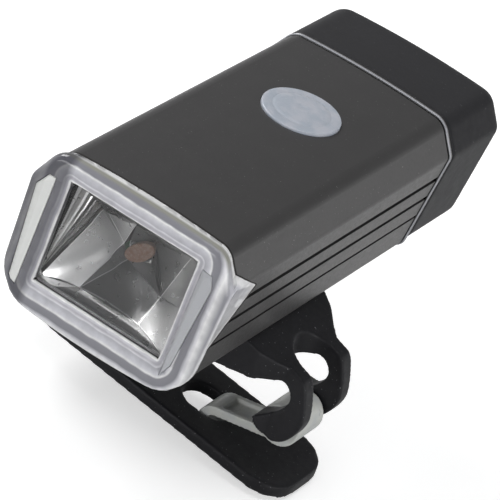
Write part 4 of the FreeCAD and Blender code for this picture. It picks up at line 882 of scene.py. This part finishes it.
def camera():
    azimuth, elevation, roll = (math.radians(angle) for angle in (22.378, 29.751, 20.274))
    distance, target = 0.5918, Vector((0, -0.006, 0.0188))
    back = Vector((math.sin(azimuth) * math.cos(elevation), -math.cos(azimuth) * math.cos(elevation),
                   math.sin(elevation)))
    right = Vector((math.cos(azimuth), math.sin(azimuth), 0))
    up = back.cross(right)
    across = right * math.cos(roll) + up * math.sin(roll)
    upright = up * math.cos(roll) - right * math.sin(roll)
    data = bpy.data.cameras.new("camera")
    data.sensor_width, data.lens = 36, 275.22
    data.shift_x, data.shift_y = 0.0515, -0.1
    data.clip_start, data.clip_end = 0.01, 20
    cam = link("camera", data)
    turned = Matrix((across, upright, back)).transposed().to_4x4()
    cam.matrix_world = Matrix.Translation(target + back * distance) @ turned
    bpy.context.scene.camera = cam


def lamp(name, place, aim, size, watts):
    data = bpy.data.lights.new(name, "AREA")
    data.shape, data.size, data.size_y = "RECTANGLE", *size
    data.energy = watts
    obj = link(name, data)
    obj.location = place
    obj.rotation_euler = (Vector(aim) - Vector(place)).to_track_quat("-Z", "Y").to_euler()


def studio():
    middle = (0, 0, 0.01)
    lamp("key", (-0.6, 0.15, 0.5), middle, (0.35, 0.35), 3.4)
    lamp("top", (0.05, -0.1, 0.8), middle, (0.5, 0.5), 2.2)
    lamp("front", (-0.35, -0.75, 0.12), middle, (0.5, 0.25), 1.6)
    lamp("rear_side", (0.75, 0.75, 0.1), middle, (0.5, 0.3), 0.42)
    lamp("side", (0.7, -0.25, 0.12), middle, (0.5, 0.35), 2.25)
    world = bpy.data.worlds.new("studio")
    bpy.context.scene.world = world
    world.use_nodes = True
    tree = world.node_tree
    room = tree.nodes["Background"]
    room.inputs["Color"].default_value = (0.97, 0.98, 1.0, 1)
    tree.links.new(by_height(tree, level=0.42, overhead=0.16), room.inputs["Strength"])
    white = tree.nodes.new("ShaderNodeBackground")
    white.inputs["Color"].default_value = (1, 1, 1, 1)
    mix = tree.nodes.new("ShaderNodeMixShader")
    for socket, source in enumerate((seen_directly(tree), room.outputs[0], white.outputs[0])):
        tree.links.new(source, mix.inputs[socket])
    tree.links.new(mix.outputs[0], tree.nodes["World Output"].inputs[0])


def by_height(tree, level, overhead):
    """The light of the room: pale at the horizon, dim overhead."""
    place = tree.nodes.new("ShaderNodeTexCoord")
    apart = tree.nodes.new("ShaderNodeSeparateXYZ")
    spread = tree.nodes.new("ShaderNodeMapRange")
    for socket, value in (("From Min", 0.0), ("From Max", 0.6), ("To Min", level), ("To Max", overhead)):
        spread.inputs[socket].default_value = value
    tree.links.new(place.outputs["Generated"], apart.inputs["Vector"])
    tree.links.new(apart.outputs["Z"], spread.inputs["Value"])
    return spread.outputs["Result"]


def seen_directly(tree):
    """1 for what the camera sees with nothing in between."""
    return tree.nodes.new("ShaderNodeLightPath").outputs["Is Camera Ray"]


def floor():
    """White paper under the light. The camera sees it paler than it lights the object."""
    low = CAD_BOX[0].z - 0.3 * MM
    size, glow_level = 3.0, 0.55
    mesh = bpy.data.meshes.new("floor")
    mesh.from_pydata([(-size, -size, low), (size, -size, low), (size, size, low), (-size, size, low)], [],
                     [(0, 1, 2, 3)])
    obj = link("floor", mesh)
    material = bpy.data.materials.new("floor_paper")
    material.use_nodes = True
    tree = material.node_tree
    paper = tree.nodes["Principled BSDF"]
    paper.inputs["Base Color"].default_value = (0.8, 0.8, 0.8, 1)
    paper.inputs["Roughness"].default_value = 0.9
    glow = tree.nodes.new("ShaderNodeEmission")
    share = tree.nodes.new("ShaderNodeMath")
    share.operation = "MULTIPLY"
    share.inputs[1].default_value = glow_level
    tree.links.new(seen_directly(tree), share.inputs[0])
    tree.links.new(share.outputs[0], glow.inputs["Strength"])
    total = tree.nodes.new("ShaderNodeAddShader")
    tree.links.new(paper.outputs[0], total.inputs[0])
    tree.links.new(glow.outputs[0], total.inputs[1])
    tree.links.new(total.outputs[0], tree.nodes["Material Output"].inputs[0])
    mesh.materials.append(material)


dress_frame()
make_lens()
make_guides()
make_reflector()
make_led()
make_seam()
make_lip_bead()
make_button()
make_bracket()
make_cap()
camera()
studio()
floor()
bpy.context.scene.view_settings.view_transform = "Standard"
